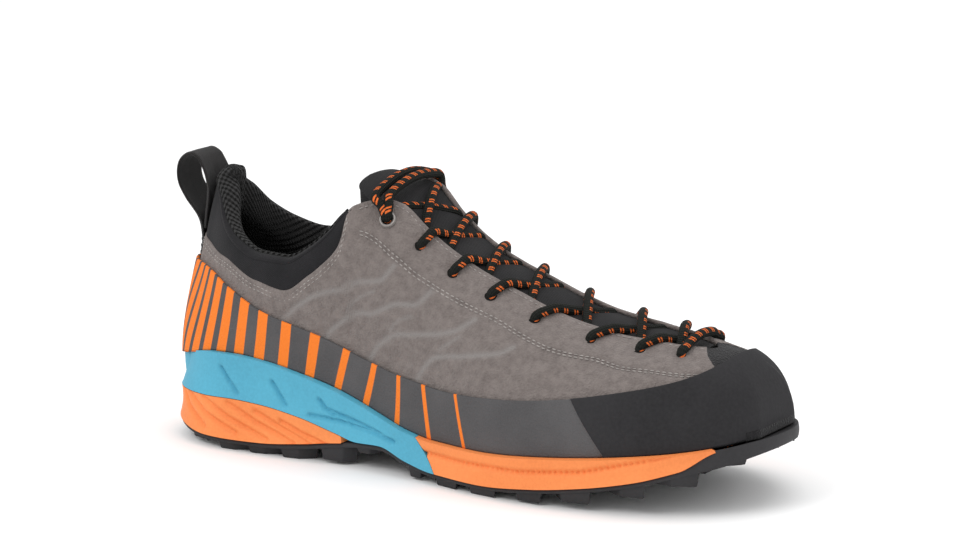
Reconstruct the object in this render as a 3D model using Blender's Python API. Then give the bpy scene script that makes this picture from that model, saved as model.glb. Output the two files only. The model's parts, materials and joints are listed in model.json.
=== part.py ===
"""Low approach shoe for the right foot, empty and standing on its sole.

Toe along +X, medial side along +Y, ground at Z = 0. Run it with
blender --background --python part.py, or from Blender's text editor.
"""
import math

import bmesh
import bpy
import numpy as np

# Driving sizes of the last, in metres
LENGTH = 0.292  # outsole from heel to toe
BALL_WIDTH = 0.104  # outsole across the ball of the foot
HEEL_WIDTH = 0.076  # outsole across the heel
COLLAR_HEIGHT = 0.116  # back of the collar over the ground
INSTEP_HEIGHT = 0.113  # top of the eyestay over the ground
SOLE_HEIGHT = 0.042  # raised rim of the midsole beside the heel
TOE_SPRING = 0.024  # tread at the toe over the ground
HEEL_CENTRE = 0.058  # origin, ahead of the back of the heel

# Walls, layers and clearances
GAP = 0.0003  # between pieces that meet
WALL = 0.0020  # suede with its lining
SUEDE_STEP = 0.0007  # the suede stands proud of the collar panel
FEATHER_INSET = 0.0048  # foot of the upper, in from the sole's edge
RAND_THICK = 0.0013
CAP_THICK = 0.0018
INSOLE_THICK = 0.0040
TONGUE_THICK = 0.0048
TONGUE_CROWN = 0.0012  # rise of the tongue's middle over a straight line across the throat
OUTSOLE_INSET = 0.0010
LUG_SINK = 0.0008  # root of a lug inside the rubber sheet
SIDE_HOLLOW = 0.0030  # hollow in the foam's side, for a side as high as SOLE_HEIGHT

# Lace, eyelets and pull loop
LACE_DIAMETER = 0.0040
LACE_SIDES = 6
LACE_LIFT = 0.0012  # middle of a strand over a straight line across the throat
FIRST_LIFT = 0.0045  # the same, over the bend of the instep
OVER_EDGE = 0.0008  # extra lift where a strand bends over the edge
LACE_SHORT = 0.13  # a strand stops short of the edge it goes under, as a share of the way
EYELET_OUTER = 0.0074
EYELET_HOLE = 0.0046
EYELET_HEIGHT = 0.0011
EYELET_IN = 0.0095  # eyelet centres, from the edge of the eyestay
EYELET_SIDES = 12
LOOP_WIDTH = 0.0185
LOOP_THICK = 0.0014

# Where the last changes from heel sizes to ball sizes, as shares of LENGTH
WAIST_FROM, WAIST_TO = 0.30, 0.60
INSTEP_FROM, INSTEP_TO = 0.25, 0.35
HEEL_ROUND, TOE_ROUND = 0.13, 0.17
HEEL_POWER, TOE_POWER = 2.3, 2.2

# Sole outline: half widths as shares of the local width
OUTLINE_COLUMNS = ("station", "lateral", "medial")
OUTLINE = (
    (0.00, 0.450, 0.450),
    (0.08, 0.485, 0.485),
    (0.15, 0.510, 0.505),
    (0.28, 0.500, 0.460),
    (0.40, 0.468, 0.375),
    (0.50, 0.452, 0.355),
    (0.60, 0.480, 0.420),
    (0.68, 0.500, 0.485),
    (0.76, 0.485, 0.505),
    (0.85, 0.440, 0.490),
    (0.93, 0.390, 0.450),
    (1.00, 0.340, 0.400),
)

# Sole from the side: spring in shares of TOE_SPRING, the levels in shares of SOLE_HEIGHT,
# and lean, how far the rim stands in from the outline, in the same shares
PROFILE_COLUMNS = ("station", "spring", "tread", "sheet", "base", "seam", "seat", "rim", "lean")
PROFILE = (
    (0.00, 0.00, 0.167, 0.186, 0.229, 0.519, 0.655, 0.857, 0.100),
    (0.04, 0.00, 0.100, 0.124, 0.171, 0.529, 0.655, 0.917, 0.100),
    (0.10, 0.00, 0.038, 0.080, 0.119, 0.538, 0.650, 0.988, 0.085),
    (0.15, 0.00, 0.000, 0.076, 0.117, 0.548, 0.643, 1.000, 0.065),
    (0.20, 0.00, 0.000, 0.079, 0.124, 0.529, 0.631, 0.974, 0.045),
    (0.27, 0.00, 0.000, 0.119, 0.171, 0.452, 0.600, 0.881, 0.030),
    (0.33, 0.00, 0.095, 0.181, 0.233, 0.340, 0.557, 0.769, 0.020),
    (0.37, 0.00, 0.170, 0.219, 0.269, 0.275, 0.521, 0.679, 0.012),
    (0.41, 0.00, 0.190, 0.233, 0.283, 0.283, 0.481, 0.586, 0.008),
    (0.46, 0.00, 0.076, 0.133, 0.179, 0.179, 0.438, 0.481, 0.005),
    (0.51, 0.00, 0.000, 0.076, 0.117, 0.117, 0.410, 0.436, 0.000),
    (0.60, 0.00, 0.000, 0.071, 0.110, 0.110, 0.398, 0.433, 0.000),
    (0.685, 0.06, 0.000, 0.083, 0.124, 0.124, 0.378, 0.436, 0.000),
    (0.76, 0.17, 0.000, 0.088, 0.129, 0.129, 0.350, 0.419, 0.000),
    (0.84, 0.35, 0.000, 0.090, 0.133, 0.133, 0.312, 0.379, 0.000),
    (0.90, 0.56, 0.000, 0.090, 0.140, 0.140, 0.256, 0.312, 0.000),
    (0.945, 0.74, 0.000, 0.070, 0.238, 0.238, 0.240, 0.258, 0.000),
    (1.00, 1.00, 0.000, 0.060, 0.171, 0.171, 0.172, 0.186, 0.000),
)

# Upper: one row for each section, from the heel seam to the toe. The foot of the section
# is on the sole's outline, its head on the collar or the eyestay. Stations are shares of
# LENGTH, widths of the local width, heights of the local height; low, high and panel are
# shares of the section's rise, the in columns shares of its run across.
SECTION_COLUMNS = ("foot", "head", "lateral", "medial", "up_lateral", "up_medial", "bulge",
                   "low", "swell", "in_lateral", "in_medial", "high_lateral", "high_medial",
                   "panel")
SECTIONS = (
    (0.000, 0.050, 0.000, 0.000, 0.953, 0.953, 0.050, 0.30, 0.070, 0.00, 0.00, 0.30, 0.30, 0.72),
    (0.012, 0.057, 0.092, 0.092, 0.935, 0.935, 0.045, 0.30, 0.060, 0.00, 0.00, 0.30, 0.30, 0.72),
    (0.040, 0.074, 0.164, 0.164, 0.892, 0.892, 0.042, 0.30, 0.050, 0.00, 0.00, 0.30, 0.30, 0.74),
    (0.085, 0.095, 0.250, 0.250, 0.819, 0.825, 0.050, 0.30, 0.050, 0.05, 0.05, 0.30, 0.30, 0.80),
    (0.130, 0.130, 0.342, 0.336, 0.759, 0.768, 0.052, 0.32, 0.055, 0.10, 0.10, 0.30, 0.30, 0.86),
    (0.185, 0.182, 0.408, 0.395, 0.720, 0.735, 0.050, 0.35, 0.050, 0.15, 0.15, 0.30, 0.30, 0.83),
    (0.240, 0.233, 0.434, 0.415, 0.720, 0.740, 0.040, 0.35, 0.045, 0.20, 0.20, 0.30, 0.30, 0.78),
    (0.290, 0.277, 0.428, 0.400, 0.779, 0.800, 0.035, 0.38, 0.040, 0.30, 0.30, 0.27, 0.27, 0.82),
    (0.325, 0.308, 0.401, 0.370, 0.859, 0.880, 0.030, 0.40, 0.030, 0.40, 0.40, 0.24, 0.24, 0.83),
    (0.345, 0.325, 0.379, 0.350, 0.925, 0.945, 0.030, 0.40, 0.025, 0.50, 0.48, 0.21, 0.21, 0.83),
    (0.360, 0.341, 0.349, 0.325, 0.973, 0.990, 0.030, 0.40, 0.020, 0.60, 0.55, 0.18, 0.19, 0.94),
    (0.380, 0.360, 0.285, 0.270, 0.996, 1.018, 0.030, 0.40, 0.020, 0.70, 0.60, 0.16, 0.18, 0.97),
    (0.400, 0.380, 0.229, 0.222, 1.004, 1.036, 0.030, 0.42, 0.020, 0.75, 0.60, 0.15, 0.18, 0.97),
    (0.425, 0.406, 0.190, 0.186, 0.987, 1.018, 0.030, 0.44, 0.020, 0.75, 0.58, 0.14, 0.18, 0.97),
    (0.465, 0.449, 0.167, 0.164, 0.898, 0.915, 0.030, 0.46, 0.015, 0.70, 0.52, 0.13, 0.18, 0.97),
    (0.530, 0.517, 0.147, 0.145, 0.792, 0.796, 0.035, 0.50, 0.010, 0.62, 0.46, 0.12, 0.18, 0.97),
    (0.600, 0.596, 0.135, 0.132, 0.708, 0.720, 0.040, 0.54, 0.005, 0.58, 0.42, 0.10, 0.18, 0.97),
    (0.680, 0.685, 0.125, 0.123, 0.627, 0.643, 0.040, 0.58, 0.000, 0.56, 0.42, 0.08, 0.17, 0.97),
    (0.760, 0.774, 0.111, 0.110, 0.587, 0.606, 0.035, 0.64, 0.000, 0.58, 0.44, 0.06, 0.15, 0.97),
    (0.840, 0.842, 0.091, 0.090, 0.575, 0.584, 0.030, 0.70, 0.000, 0.62, 0.46, 0.05, 0.12, 0.97),
    (0.905, 0.873, 0.0625, 0.062, 0.568, 0.572, 0.018, 0.65, 0.000, 0.66, 0.52, 0.05, 0.10, 0.97),
    (0.960, 0.887, 0.034, 0.033, 0.567, 0.568, 0.010, 0.60, 0.000, 0.68, 0.58, 0.07, 0.09, 0.97),
    (1.000, 0.892, 0.000, 0.000, 0.566, 0.566, 0.004, 0.57, 0.000, 0.63, 0.63, 0.08, 0.08, 0.97),
)
LAST_ROW = len(SECTIONS) - 1

# Top edge of the rubber rand, in shares of COLLAR_HEIGHT
RAND_COLUMNS = ("station", "top")
RAND = (
    (0.00, 0.664),
    (0.08, 0.642),
    (0.13, 0.603),
    (0.20, 0.536),
    (0.28, 0.486),
    (0.38, 0.405),
    (0.45, 0.367),
    (0.54, 0.345),
    (0.63, 0.352),
    (0.74, 0.383),
    (0.82, 0.420),
    (0.91, 0.468),
    (0.96, 0.505),
    (1.00, 0.528),
)
# Leaning columns beside the joint of side rand and toe cap: rows at the rim and the top
RAND_END = ((18.0, 17.4), (18.55, 17.80))
CAP_END = ((18.55, 17.80), (18.85, 18.4))
CAP_SEAM = 0.014  # rows left open between them
RAND_STEPS = 4
LINING_SKIPS = (1, 3, 5)  # points of the outer face that the inner face leaves out
RAND_END_LIFT = 0.0002  # its slanting ends stand a little further off the upper
RAND_EDGE = 0.55  # top edge of a band, as a share of its thickness

# Padded collar: thickness and rise over the upper's edge, in shares of HEEL_WIDTH
PAD_COLUMNS = ("row", "pad", "rise")
PAD = (
    (0.0, 0.150, 0.076),
    (1.0, 0.140, 0.065),
    (2.0, 0.125, 0.052),
    (3.0, 0.105, 0.040),
    (4.0, 0.085, 0.034),
    (6.0, 0.060, 0.032),
    (9.4, 0.045, 0.022),
)
COLLAR_END = 9.4
PAD_DEPTH = 0.030  # lining of the collar, down inside the upper

# Joints of the foams, in shares of LENGTH
WEDGE_END = 0.342
BLUE_END = 0.479
FORE_END = 0.932
FOAM_SEAM = 0.0011
BLUE_SLANT = 0.036  # the joint of the two foams runs forward towards the ground
SLANT_FROM, SLANT_TO = 0.40, 0.60
SPINE_FROM, SPINE_TO = 0.07, 0.93  # ends of the sole's middle line of points
MIDWAY = 0.45  # extra point between the middle line and the edge

# Tread lugs along each edge of the outsole, from and to in shares of LENGTH
EDGE_LUGS = (
    (0.060, 0.090),
    (0.118, 0.146),
    (0.172, 0.200),
    (0.230, 0.262),
    (0.300, 0.340),
    (0.363, 0.388),
    (0.460, 0.486),
    (0.512, 0.556),
    (0.578, 0.628),
    (0.662, 0.706),
    (0.734, 0.782),
    (0.824, 0.862),
    (0.894, 0.930),
)
LUG_REACH = 0.0150  # an edge lug, in from the rubber's edge
LUG_TAPER = 0.0012
HEEL_LUGS = (0.090, 0.145, 0.198, 0.252)  # centre lugs, shares of LENGTH
FORE_LUGS = (0.535, 0.603, 0.684, 0.758, 0.843)
CENTRE_LUG = 0.0125
CENTRE_STEP = 0.0100  # centre lugs across the forefoot

# Rows of the lace: head stations, from the corner of the eyestay to the toe. The top bars
# and crossings count along them; row 0 is the pair of ringed eyelets.
LACE_HEADS = (0.352, 0.388, 0.443, 0.499, 0.564, 0.638, 0.729, 0.807, 0.862)
LACE_ROWS = len(LACE_HEADS) - 1
UNDER_STEP = 0.65  # how far towards the next row a strand goes under the edge
FIRST_STRAND = 0.30  # row where the first crossing starts, clear of the top bars
TOP_BAR_OVER = 0.0018  # the top bars stand this much higher than the other strands
TOP_BAR_SHORT = 0.22
TOP_BAR_COLUMNS = ("lateral", "medial", "lift")
TOP_BARS = (
    (-0.04, -0.06, 0.0050),
    (-0.54, -0.54, 0.0078),
)

# Free end of the tongue: way past its last row, width and thickness as shares
TONGUE_END_COLUMNS = ("step", "width", "thick")
TONGUE_END = (
    (0.0050, 0.92, 1.0),
    (0.0095, 0.84, 1.0),
    (0.0125, 0.66, 0.7),
)
TONGUE_HEADING = (-0.90, -0.10, 0.42)
TONGUE_ROWS = (20.5, 19.5, 18.5, 18, 17, 16, 15, 14, 13, 12, 11.4)
TONGUE_EDGE = (0.45, 0.85, 1.0, 1.0, 1.0, 1.0, 1.0, 0.85, 0.45)  # thickness across it

# Pull loop from the heel to the collar, as steps from the head of the heel seam
LOOP_PATH = (
    (-0.0076, -0.0330),
    (-0.0066, -0.0250),
    (-0.0085, -0.0160),
    (-0.0140, -0.0080),
    (-0.0172, 0.0000),
    (-0.0152, 0.0080),
    (-0.0080, 0.0120),
    (-0.0010, 0.0108),
    (-0.0008, 0.0058),
    (-0.0014, 0.0018),
)

MATERIALS = {  # colour, roughness, metallic
    "suede": ((0.205, 0.178, 0.168), 0.92, 0.0),
    "softshell": ((0.028, 0.027, 0.029), 0.85, 0.0),
    "webbing": ((0.022, 0.021, 0.023), 0.80, 0.0),
    "rand_rubber": ((0.068, 0.068, 0.070), 0.75, 0.0),
    "cap_rubber": ((0.038, 0.037, 0.040), 0.60, 0.0),
    "foam_blue": ((0.080, 0.430, 0.620), 0.55, 0.0),
    "foam_orange": ((0.950, 0.250, 0.070), 0.55, 0.0),
    "tread_rubber": ((0.045, 0.043, 0.046), 0.70, 0.0),
    "insole_foam": ((0.030, 0.030, 0.032), 0.90, 0.0),
    "lace": ((0.055, 0.040, 0.030), 0.80, 0.0),
    "metal": ((0.550, 0.550, 0.560), 0.35, 1.0),
}


def column(table, columns, name):
    """One named column of a table."""
    at = columns.index(name)
    return [row[at] for row in table]


def smooth(xs, ys, at):
    """Cubic through a table's rows, without overshoot between them."""
    at = min(max(at, xs[0]), xs[-1])
    k = 0
    while k < len(xs) - 2 and at > xs[k + 1]:
        k += 1
    steps = [(ys[i + 1] - ys[i]) / (xs[i + 1] - xs[i]) for i in range(len(xs) - 1)]

    def slope(i):
        if i == 0 or i == len(xs) - 1:
            return steps[min(i, len(steps) - 1)]
        before, after = steps[i - 1], steps[i]
        if before * after <= 0:
            return 0.0
        return 2 * before * after / (before + after)

    run = xs[k + 1] - xs[k]
    t = (at - xs[k]) / run
    start = (1 + 2 * t) * (1 - t) ** 2 * ys[k] + t * (1 - t) ** 2 * run * slope(k)
    return start + t * t * (3 - 2 * t) * ys[k + 1] + t * t * (t - 1) * run * slope(k + 1)


def ease(value, low, high):
    """0 below low, 1 above high, and a soft step between."""
    t = min(max((value - low) / (high - low), 0.0), 1.0)
    return t * t * (3 - 2 * t)


def table(rows, columns):
    return {name: column(rows, columns, name) for name in columns}


OUT = table(OUTLINE, OUTLINE_COLUMNS)
PRO = table(PROFILE, PROFILE_COLUMNS)
SEC = table(SECTIONS, SECTION_COLUMNS)
TOP = table(RAND, RAND_COLUMNS)
PADDING = table(PAD, PAD_COLUMNS)
ROWS = list(range(len(SECTIONS)))
HALF_ROWS = (0.5, 1.5, 2.5, 3.5, 4.5, 18.5, 19.5, 20.5, 21.5)  # more columns at heel and toe
RING = sorted([float(row) for row in ROWS] + list(HALF_ROWS))


def local_width(station):
    return HEEL_WIDTH + (BALL_WIDTH - HEEL_WIDTH) * ease(station, WAIST_FROM, WAIST_TO)


def local_height(station):
    return COLLAR_HEIGHT + (INSTEP_HEIGHT - COLLAR_HEIGHT) * ease(station, INSTEP_FROM, INSTEP_TO)


def half_width(station, side):
    """Half width of the sole, closed at heel and toe by rounded ends."""
    name = "lateral" if side < 0 else "medial"
    width = local_width(station) * smooth(OUT["station"], OUT[name], station)
    if station < HEEL_ROUND:
        part = 1 - (1 - station / HEEL_ROUND) ** HEEL_POWER
        width *= max(0.0, part) ** (1 / HEEL_POWER)
    if station > 1 - TOE_ROUND:
        part = 1 - (1 - (1 - station) / TOE_ROUND) ** TOE_POWER
        width *= max(0.0, part) ** (1 / TOE_POWER)
    return width


def level(name, station):
    """Height of one of the sole's lines."""
    spring = smooth(PRO["station"], PRO["spring"], station) * TOE_SPRING
    return spring + smooth(PRO["station"], PRO[name], station) * SOLE_HEIGHT


def lean(station):
    """How far the sole's rim stands in from its outline."""
    return smooth(PRO["station"], PRO["lean"], station) * SOLE_HEIGHT


def outline(station, side, inset=0.0):
    """Point of the sole's outline in plan, moved in by inset."""
    share = inset / LENGTH
    at = share + station * (1 - 2 * share)
    width = half_width(at, side)
    width = max(0.0, width - inset * min(1.0, width / (5 * max(inset, 1e-6))))
    if station <= 0 or station >= 1:
        width = 0.0
    return np.array([at * LENGTH - HEEL_CENTRE, side * width])


def outward(station, side):
    """Unit vector square to the outline, in plan."""
    if station <= 0 or station >= 1:
        return np.array([-1.0 if station <= 0 else 1.0, 0.0])
    step = 0.004
    run = outline(min(1, station + step), side) - outline(max(0, station - step), side)
    across = np.array([run[1], -run[0]]) * -side
    return across / np.linalg.norm(across)


def controls(row, side):
    """Four Bezier controls of the upper's section at a row, foot to head."""
    g = {name: smooth(ROWS, SEC[name], row) for name in SECTION_COLUMNS}
    flat = outline(g["foot"], side, FEATHER_INSET + lean(g["foot"]))
    out = np.array([*outward(g["foot"], side), 0.0])
    width = local_width(g["foot"])
    foot = np.array([*flat, level("seat", g["foot"]) + GAP])
    across = (g["lateral"] if side < 0 else g["medial"]) * local_width(g["head"])
    up = (g["up_lateral"] if side < 0 else g["up_medial"]) * local_height(g["head"])
    head = np.array([g["head"] * LENGTH - HEEL_CENTRE, side * across, up])
    rise = head[2] - foot[2]
    run = (head - foot) * [1, 1, 0]
    inner = g["in_lateral"] if side < 0 else g["in_medial"]
    fall = g["high_lateral"] if side < 0 else g["high_medial"]
    low = foot + out * g["bulge"] * width + [0, 0, rise * g["low"]]
    high = head - run * inner + out * g["swell"] * width - [0, 0, rise * fall]
    return foot, low, high, head


def skin(turn, v):
    """Upper's outer face: turn runs round the shoe from the heel by the lateral side."""
    turn = turn % (2 * LAST_ROW)
    side = -1 if turn <= LAST_ROW else 1
    row = turn if side < 0 else 2 * LAST_ROW - turn
    a, b, c, d = controls(row, side)
    w = 1 - v
    return a * w ** 3 + 3 * b * v * w * w + 3 * c * v * v * w + d * v ** 3


def normal(turn, v):
    """Outward unit normal of the upper's face."""
    dt, dv = 0.05, 0.01
    along = skin(turn + dt, v) - skin(turn - dt, v)
    up = skin(turn, min(1, v + dv)) - skin(turn, max(0, v - dv))
    n = np.cross(along, up)
    return n / np.linalg.norm(n)


def face(turn, v, offset):
    return skin(turn, v) + normal(turn, v) * offset


def station_of(turn):
    turn = turn % (2 * LAST_ROW)
    row = turn if turn <= LAST_ROW else 2 * LAST_ROW - turn
    return smooth(ROWS, SEC["foot"], row)


def v_at_height(turn, height):
    """Share along a section where it reaches a height."""
    low, high = 0.0, 1.0
    for _ in range(30):
        middle = (low + high) / 2
        if skin(turn, middle)[2] < height:
            low = middle
        else:
            high = middle
    return (low + high) / 2


def panel_v(turn):
    """Share along a section where the suede ends and the collar panel starts."""
    turn = turn % (2 * LAST_ROW)
    row = turn if turn <= LAST_ROW else 2 * LAST_ROW - turn
    return smooth(ROWS, SEC["panel"], row)


def ring_turns():
    """Turns of all the columns round the shoe."""
    return RING + [2 * LAST_ROW - row for row in reversed(RING[1:-1])]


def make_material(name):
    colour, roughness, metallic = MATERIALS[name]
    material = bpy.data.materials.new(name)
    material.use_nodes = True
    shader = material.node_tree.nodes["Principled BSDF"]
    shader.inputs["Base Color"].default_value = (*colour, 1.0)
    shader.inputs["Roughness"].default_value = roughness
    shader.inputs["Metallic"].default_value = metallic
    material.diffuse_color = (*colour, 1.0)
    return material


def make_object(name, bm, material, sharp=40):
    """Closed mesh object with its faces turned outwards."""
    bmesh.ops.remove_doubles(bm, verts=bm.verts, dist=1e-6)
    bmesh.ops.recalc_face_normals(bm, faces=bm.faces)
    bmesh.ops.triangulate(bm, faces=bm.faces)
    mesh = bpy.data.meshes.new(name)
    bm.to_mesh(mesh)
    bm.free()
    mesh.shade_smooth()
    mesh.set_sharp_from_angle(angle=math.radians(sharp))
    thing = bpy.data.objects.new(name, mesh)
    bpy.context.scene.collection.objects.link(thing)
    if material:
        mesh.materials.append(make_material(material))
    return thing


def bridge(bm, columns, closed_along=False, closed_round=True):
    """Quads between neighbouring columns of points; open ends get flat caps."""
    rows = [[bm.verts.new(point) for point in points] for points in columns]
    count = len(rows)
    size = len(rows[0])
    for i in range(count if closed_along else count - 1):
        a, b = rows[i], rows[(i + 1) % count]
        for j in range(size if closed_round else size - 1):
            k = (j + 1) % size
            bm.faces.new((a[j], b[j], b[k], a[k]))
    if closed_round and not closed_along:
        bm.faces.new(rows[0])
        bm.faces.new(reversed(rows[-1]))
    return rows


def rim_v(turn):
    """Share up a section at the rim of the midsole."""
    return v_at_height(turn, level("rim", station_of(turn)) + GAP)


def rand_v(turn):
    """Share up a section at the top of the rand."""
    station = station_of(turn)
    return v_at_height(turn, smooth(TOP["station"], TOP["top"], station) * COLLAR_HEIGHT)


def suede_shares(turn):
    """Shares up the suede where the layers on both its faces have their points too."""
    rim, top, split = rim_v(turn), rand_v(turn), panel_v(turn)
    band = [rim + (top - rim) * j / RAND_STEPS for j in range(1, RAND_STEPS + 1)]
    return [0.0, rim / 2, rim] + band + [top + (split - top) * j / 3 for j in (1, 2, 3)]


def make_upper():
    """One hollow wall, open at collar, throat and underneath, with the suede as a step."""
    bm = bmesh.new()
    columns = []
    for turn in ring_turns():
        suede = suede_shares(turn)
        panel = [(1 + suede[-1]) / 2, 1.0]
        up = [face(turn, v, 0.0) for v in suede]
        up += [face(turn, v, -SUEDE_STEP) for v in suede[-1:] + panel]
        lining = [v for j, v in enumerate(suede) if j not in LINING_SKIPS] + panel
        down = [face(turn, v, -WALL) for v in reversed(lining)]
        down[-1][2] = up[0][2]
        columns.append(up + down)
    bridge(bm, columns, closed_along=True)
    return make_object("upper", bm, "suede")


def layer(name, first, last, thick, material):
    """Band of rubber on the upper; first and last hold its leaning columns at each end.

    A leaning column is a pair of turns, at the rim and at the top edge.
    """
    bm = bmesh.new()
    turns = [turn - 2 * LAST_ROW for turn in ring_turns()] + ring_turns()
    between = [(turn, turn) for turn in turns if max(first[-1]) < turn < min(last[0])]
    columns = []
    for at_rim, at_top in first + between + last:
        up, down = [], []
        lift = GAP if at_rim == at_top else GAP + RAND_END_LIFT
        for j in range(RAND_STEPS + 1):
            share = j / RAND_STEPS
            turn = at_rim + (at_top - at_rim) * share
            v0, v1 = rim_v(turn), rand_v(turn)
            v = v0 + (v1 - v0) * share
            edge = thick * (RAND_EDGE if j == RAND_STEPS else 1.0)
            up.append(face(turn, v, lift + edge))
            down.append(face(turn, v, lift))
        floor = level("rim", station_of(at_rim)) + 4 * GAP
        for point in (up[0], down[0]):
            point[2] = max(point[2], floor)
        columns.append(up + down[::-1])
    bridge(bm, columns)
    return make_object(name, bm, material)


def make_rand():
    """Side rand round the heel, from the toe cap's medial end to its lateral end."""
    last = [(rim - CAP_SEAM, top - CAP_SEAM) for rim, top in RAND_END]
    first = [(-rim, -top) for rim, top in reversed(last)]
    return layer("side_rand", first, last, RAND_THICK, "rand_rubber")


def make_cap():
    """Toe cap over the front of the upper."""
    first = list(CAP_END)
    last = [(2 * LAST_ROW - rim, 2 * LAST_ROW - top) for rim, top in reversed(first)]
    return layer("toe_cap", first, last, CAP_THICK, "cap_rubber")


def make_collar():
    """Padded collar: it sits on the upper's edge and lines it down the inside."""
    bm = bmesh.new()
    columns = []
    rows = [row for row in RING if row < COLLAR_END] + [COLLAR_END]
    for turn in [-row for row in reversed(rows[1:])] + rows:
        row = abs(turn)
        pad = smooth(PADDING["row"], PADDING["pad"], row) * HEEL_WIDTH
        rise = smooth(PADDING["row"], PADDING["rise"], row) * HEEL_WIDTH
        edge = face(turn, 1.0, -SUEDE_STEP) + [0, 0, GAP]
        back = normal(turn, 1.0) * [1, 1, 0]
        back = back / np.linalg.norm(back)
        up = np.array([0, 0, 1.0])
        over = [
            edge,
            edge - back * pad * 0.10 + up * rise * 0.60,
            edge - back * pad * 0.38 + up * rise * 0.95,
            edge - back * pad * 0.68 + up * rise,
            edge - back * pad * 0.92 + up * rise * 0.62,
        ]
        section = skin(turn, 1.0) - skin(turn, 0.0)
        depth = PAD_DEPTH / np.linalg.norm(section)
        under = WALL + GAP
        inside = []
        for share, thick in ((0.25, 0.82), (0.6, 0.45), (1.0, 0.22)):
            inside.append(face(turn, 1 - depth * share, -under - pad * thick))
        lining = []
        for share in (1.0, 0.5, 0.0):
            lining.append(face(turn, 1 - depth * share, -under))
        lining[-1] = face(turn, 1.0, -under) + [0, 0, GAP]
        columns.append(over + inside + lining)
    bridge(bm, columns)
    return make_object("collar", bm, "softshell")


def tongue_frame(row):
    """Top face of the tongue across one row, from lateral to medial, with its normals."""
    sides = []
    for turn in (row, 2 * LAST_ROW - row):
        flap = suede_shares(turn)[-2:] + [1.0]
        sides.append([(face(turn, v, -(WALL + GAP)), normal(turn, v)) for v in flap])
    left, right = sides[0], sides[1][::-1]
    a, b = left[-1][0], right[0][0]
    up = left[-1][1] + right[0][1]
    up = up / np.linalg.norm(up)
    middle = []
    for share in (0.25, 0.5, 0.75):
        lift = TONGUE_CROWN * 4 * share * (1 - share)
        middle.append((a + (b - a) * share + up * lift, up))
    return left + middle + right


def make_tongue():
    """Padded tongue: it lies under both eyestays and stands free above them."""
    bm = bmesh.new()
    columns = []
    for row in TONGUE_ROWS:
        frame = tongue_frame(row)
        top = [point for point, _ in frame]
        low = [point - up * TONGUE_THICK * share for (point, up), share in zip(frame, TONGUE_EDGE)]
        columns.append(top + low[::-1])
    centre = frame[len(frame) // 2][0]
    for step, width, thick in TONGUE_END:
        top, low = [], []
        for (point, up), share in zip(frame, TONGUE_EDGE):
            spot = centre + (point - centre) * [1.0, width, width] + np.array(TONGUE_HEADING) * step
            top.append(spot)
            low.append(spot - up * TONGUE_THICK * thick * share)
        columns.append(top + low[::-1])
    bridge(bm, columns)
    return make_object("tongue", bm, "softshell")


def sole_stations(start, end):
    """Stations of the upper's columns between two stations, and the two themselves."""
    inner = [station_of(row) for row in RING]
    joints = [WEDGE_END, BLUE_END, FORE_END]
    between = sorted(s for s in inner + joints if start + 0.003 < s < end - 0.003)
    return [start] + between + [end]


def lay(station, side, share, name, lift=0.0, inset=0.0):
    """Point on one of the sole's levels, a share of the way from the middle to the edge."""
    middle = (SPINE_FROM + (SPINE_TO - SPINE_FROM) * station) * LENGTH - HEEL_CENTRE
    edge = outline(station, side, inset)
    x = middle + (edge[0] - middle) * share
    return np.array([x, edge[1] * share, level(name, (x + HEEL_CENTRE) / LENGTH) + lift])


def disc(name, stations, section, material):
    """Solid with a section for each station and side, joined along the middle line."""
    bm = bmesh.new()
    sides = {}
    for side in (-1, 1):
        sides[side] = [section(station, side) for station in stations]
        bridge(bm, sides[side], closed_round=False)
    bmesh.ops.remove_doubles(bm, verts=bm.verts, dist=1e-6)
    bmesh.ops.holes_fill(bm, edges=[e for e in bm.edges if e.is_boundary], sides=0)
    return make_object(name, bm, material)


def turn_at(station, side):
    """Turn of the upper's column that stands on a station of the outline."""
    low, high = 0.0, float(LAST_ROW)
    for _ in range(30):
        middle = (low + high) / 2
        if station_of(middle) < station:
            low = middle
        else:
            high = middle
    row = (low + high) / 2
    if station <= 0 or station >= 1:
        row = 0.0 if station <= 0 else float(LAST_ROW)
    return row if side < 0 else 2 * LAST_ROW - row


def side_wall(station, side, low, high, steps, slant=0.0):
    """Outer side of the foam between two levels, with a hollow face and a rim that leans in."""
    points = []
    foot = station + slant
    z0 = level(low, foot)
    z1 = level(high, station)
    for j in range(steps + 1):
        share = j / steps
        at = foot + (station - foot) * share
        z = z0 + (z1 - z0) * share
        base, rim = level("base", at), level("rim", at)
        up = min(max((z - base) / (rim - base), 0.0), 1.0)
        inset = lean(at) * up ** 2 + SIDE_HOLLOW * math.sin(math.pi * share) * (z1 - z0) / SOLE_HEIGHT
        flat = outline(at, side) - outward(at, side) * inset
        points.append(np.array([*flat, z]))
    return points


def cup(station, side):
    """Inner side of the raised rim, a gap off the upper."""
    turn = turn_at(station, side)
    rim = rim_v(turn)
    return [face(turn, v, GAP) - [0, 0, GAP] for v in (rim, rim / 2, 0.0)]


def foam_foot(station):
    """Station at the foot of a section that slants with the joint of the two foams."""
    rise = ease(station, SLANT_FROM, BLUE_END)
    return station + BLUE_SLANT * rise * (1 - ease(station, BLUE_END, SLANT_TO))


def foam_section(station, side, low):
    """Section of the midsole: underside, side, rim, cup and seat."""
    foot = foam_foot(station)
    points = [lay(foot, side, share, low, GAP) for share in (0.0, MIDWAY)]
    wall = side_wall(station, side, low, "rim", 4, foot - station)
    wall[0][2] = level(low, foot) + GAP
    points += wall + cup(station, side)
    points += [lay(station, side, share, "seat") for share in (MIDWAY, 0.0)]
    return points


def make_midsole_heel():
    """Blue foam: a cup round the heel that runs down into the arch."""
    def section(station, side):
        return foam_section(station, side, "seam")
    return disc("midsole_heel", sole_stations(0, BLUE_END), section, "foam_blue")


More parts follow.
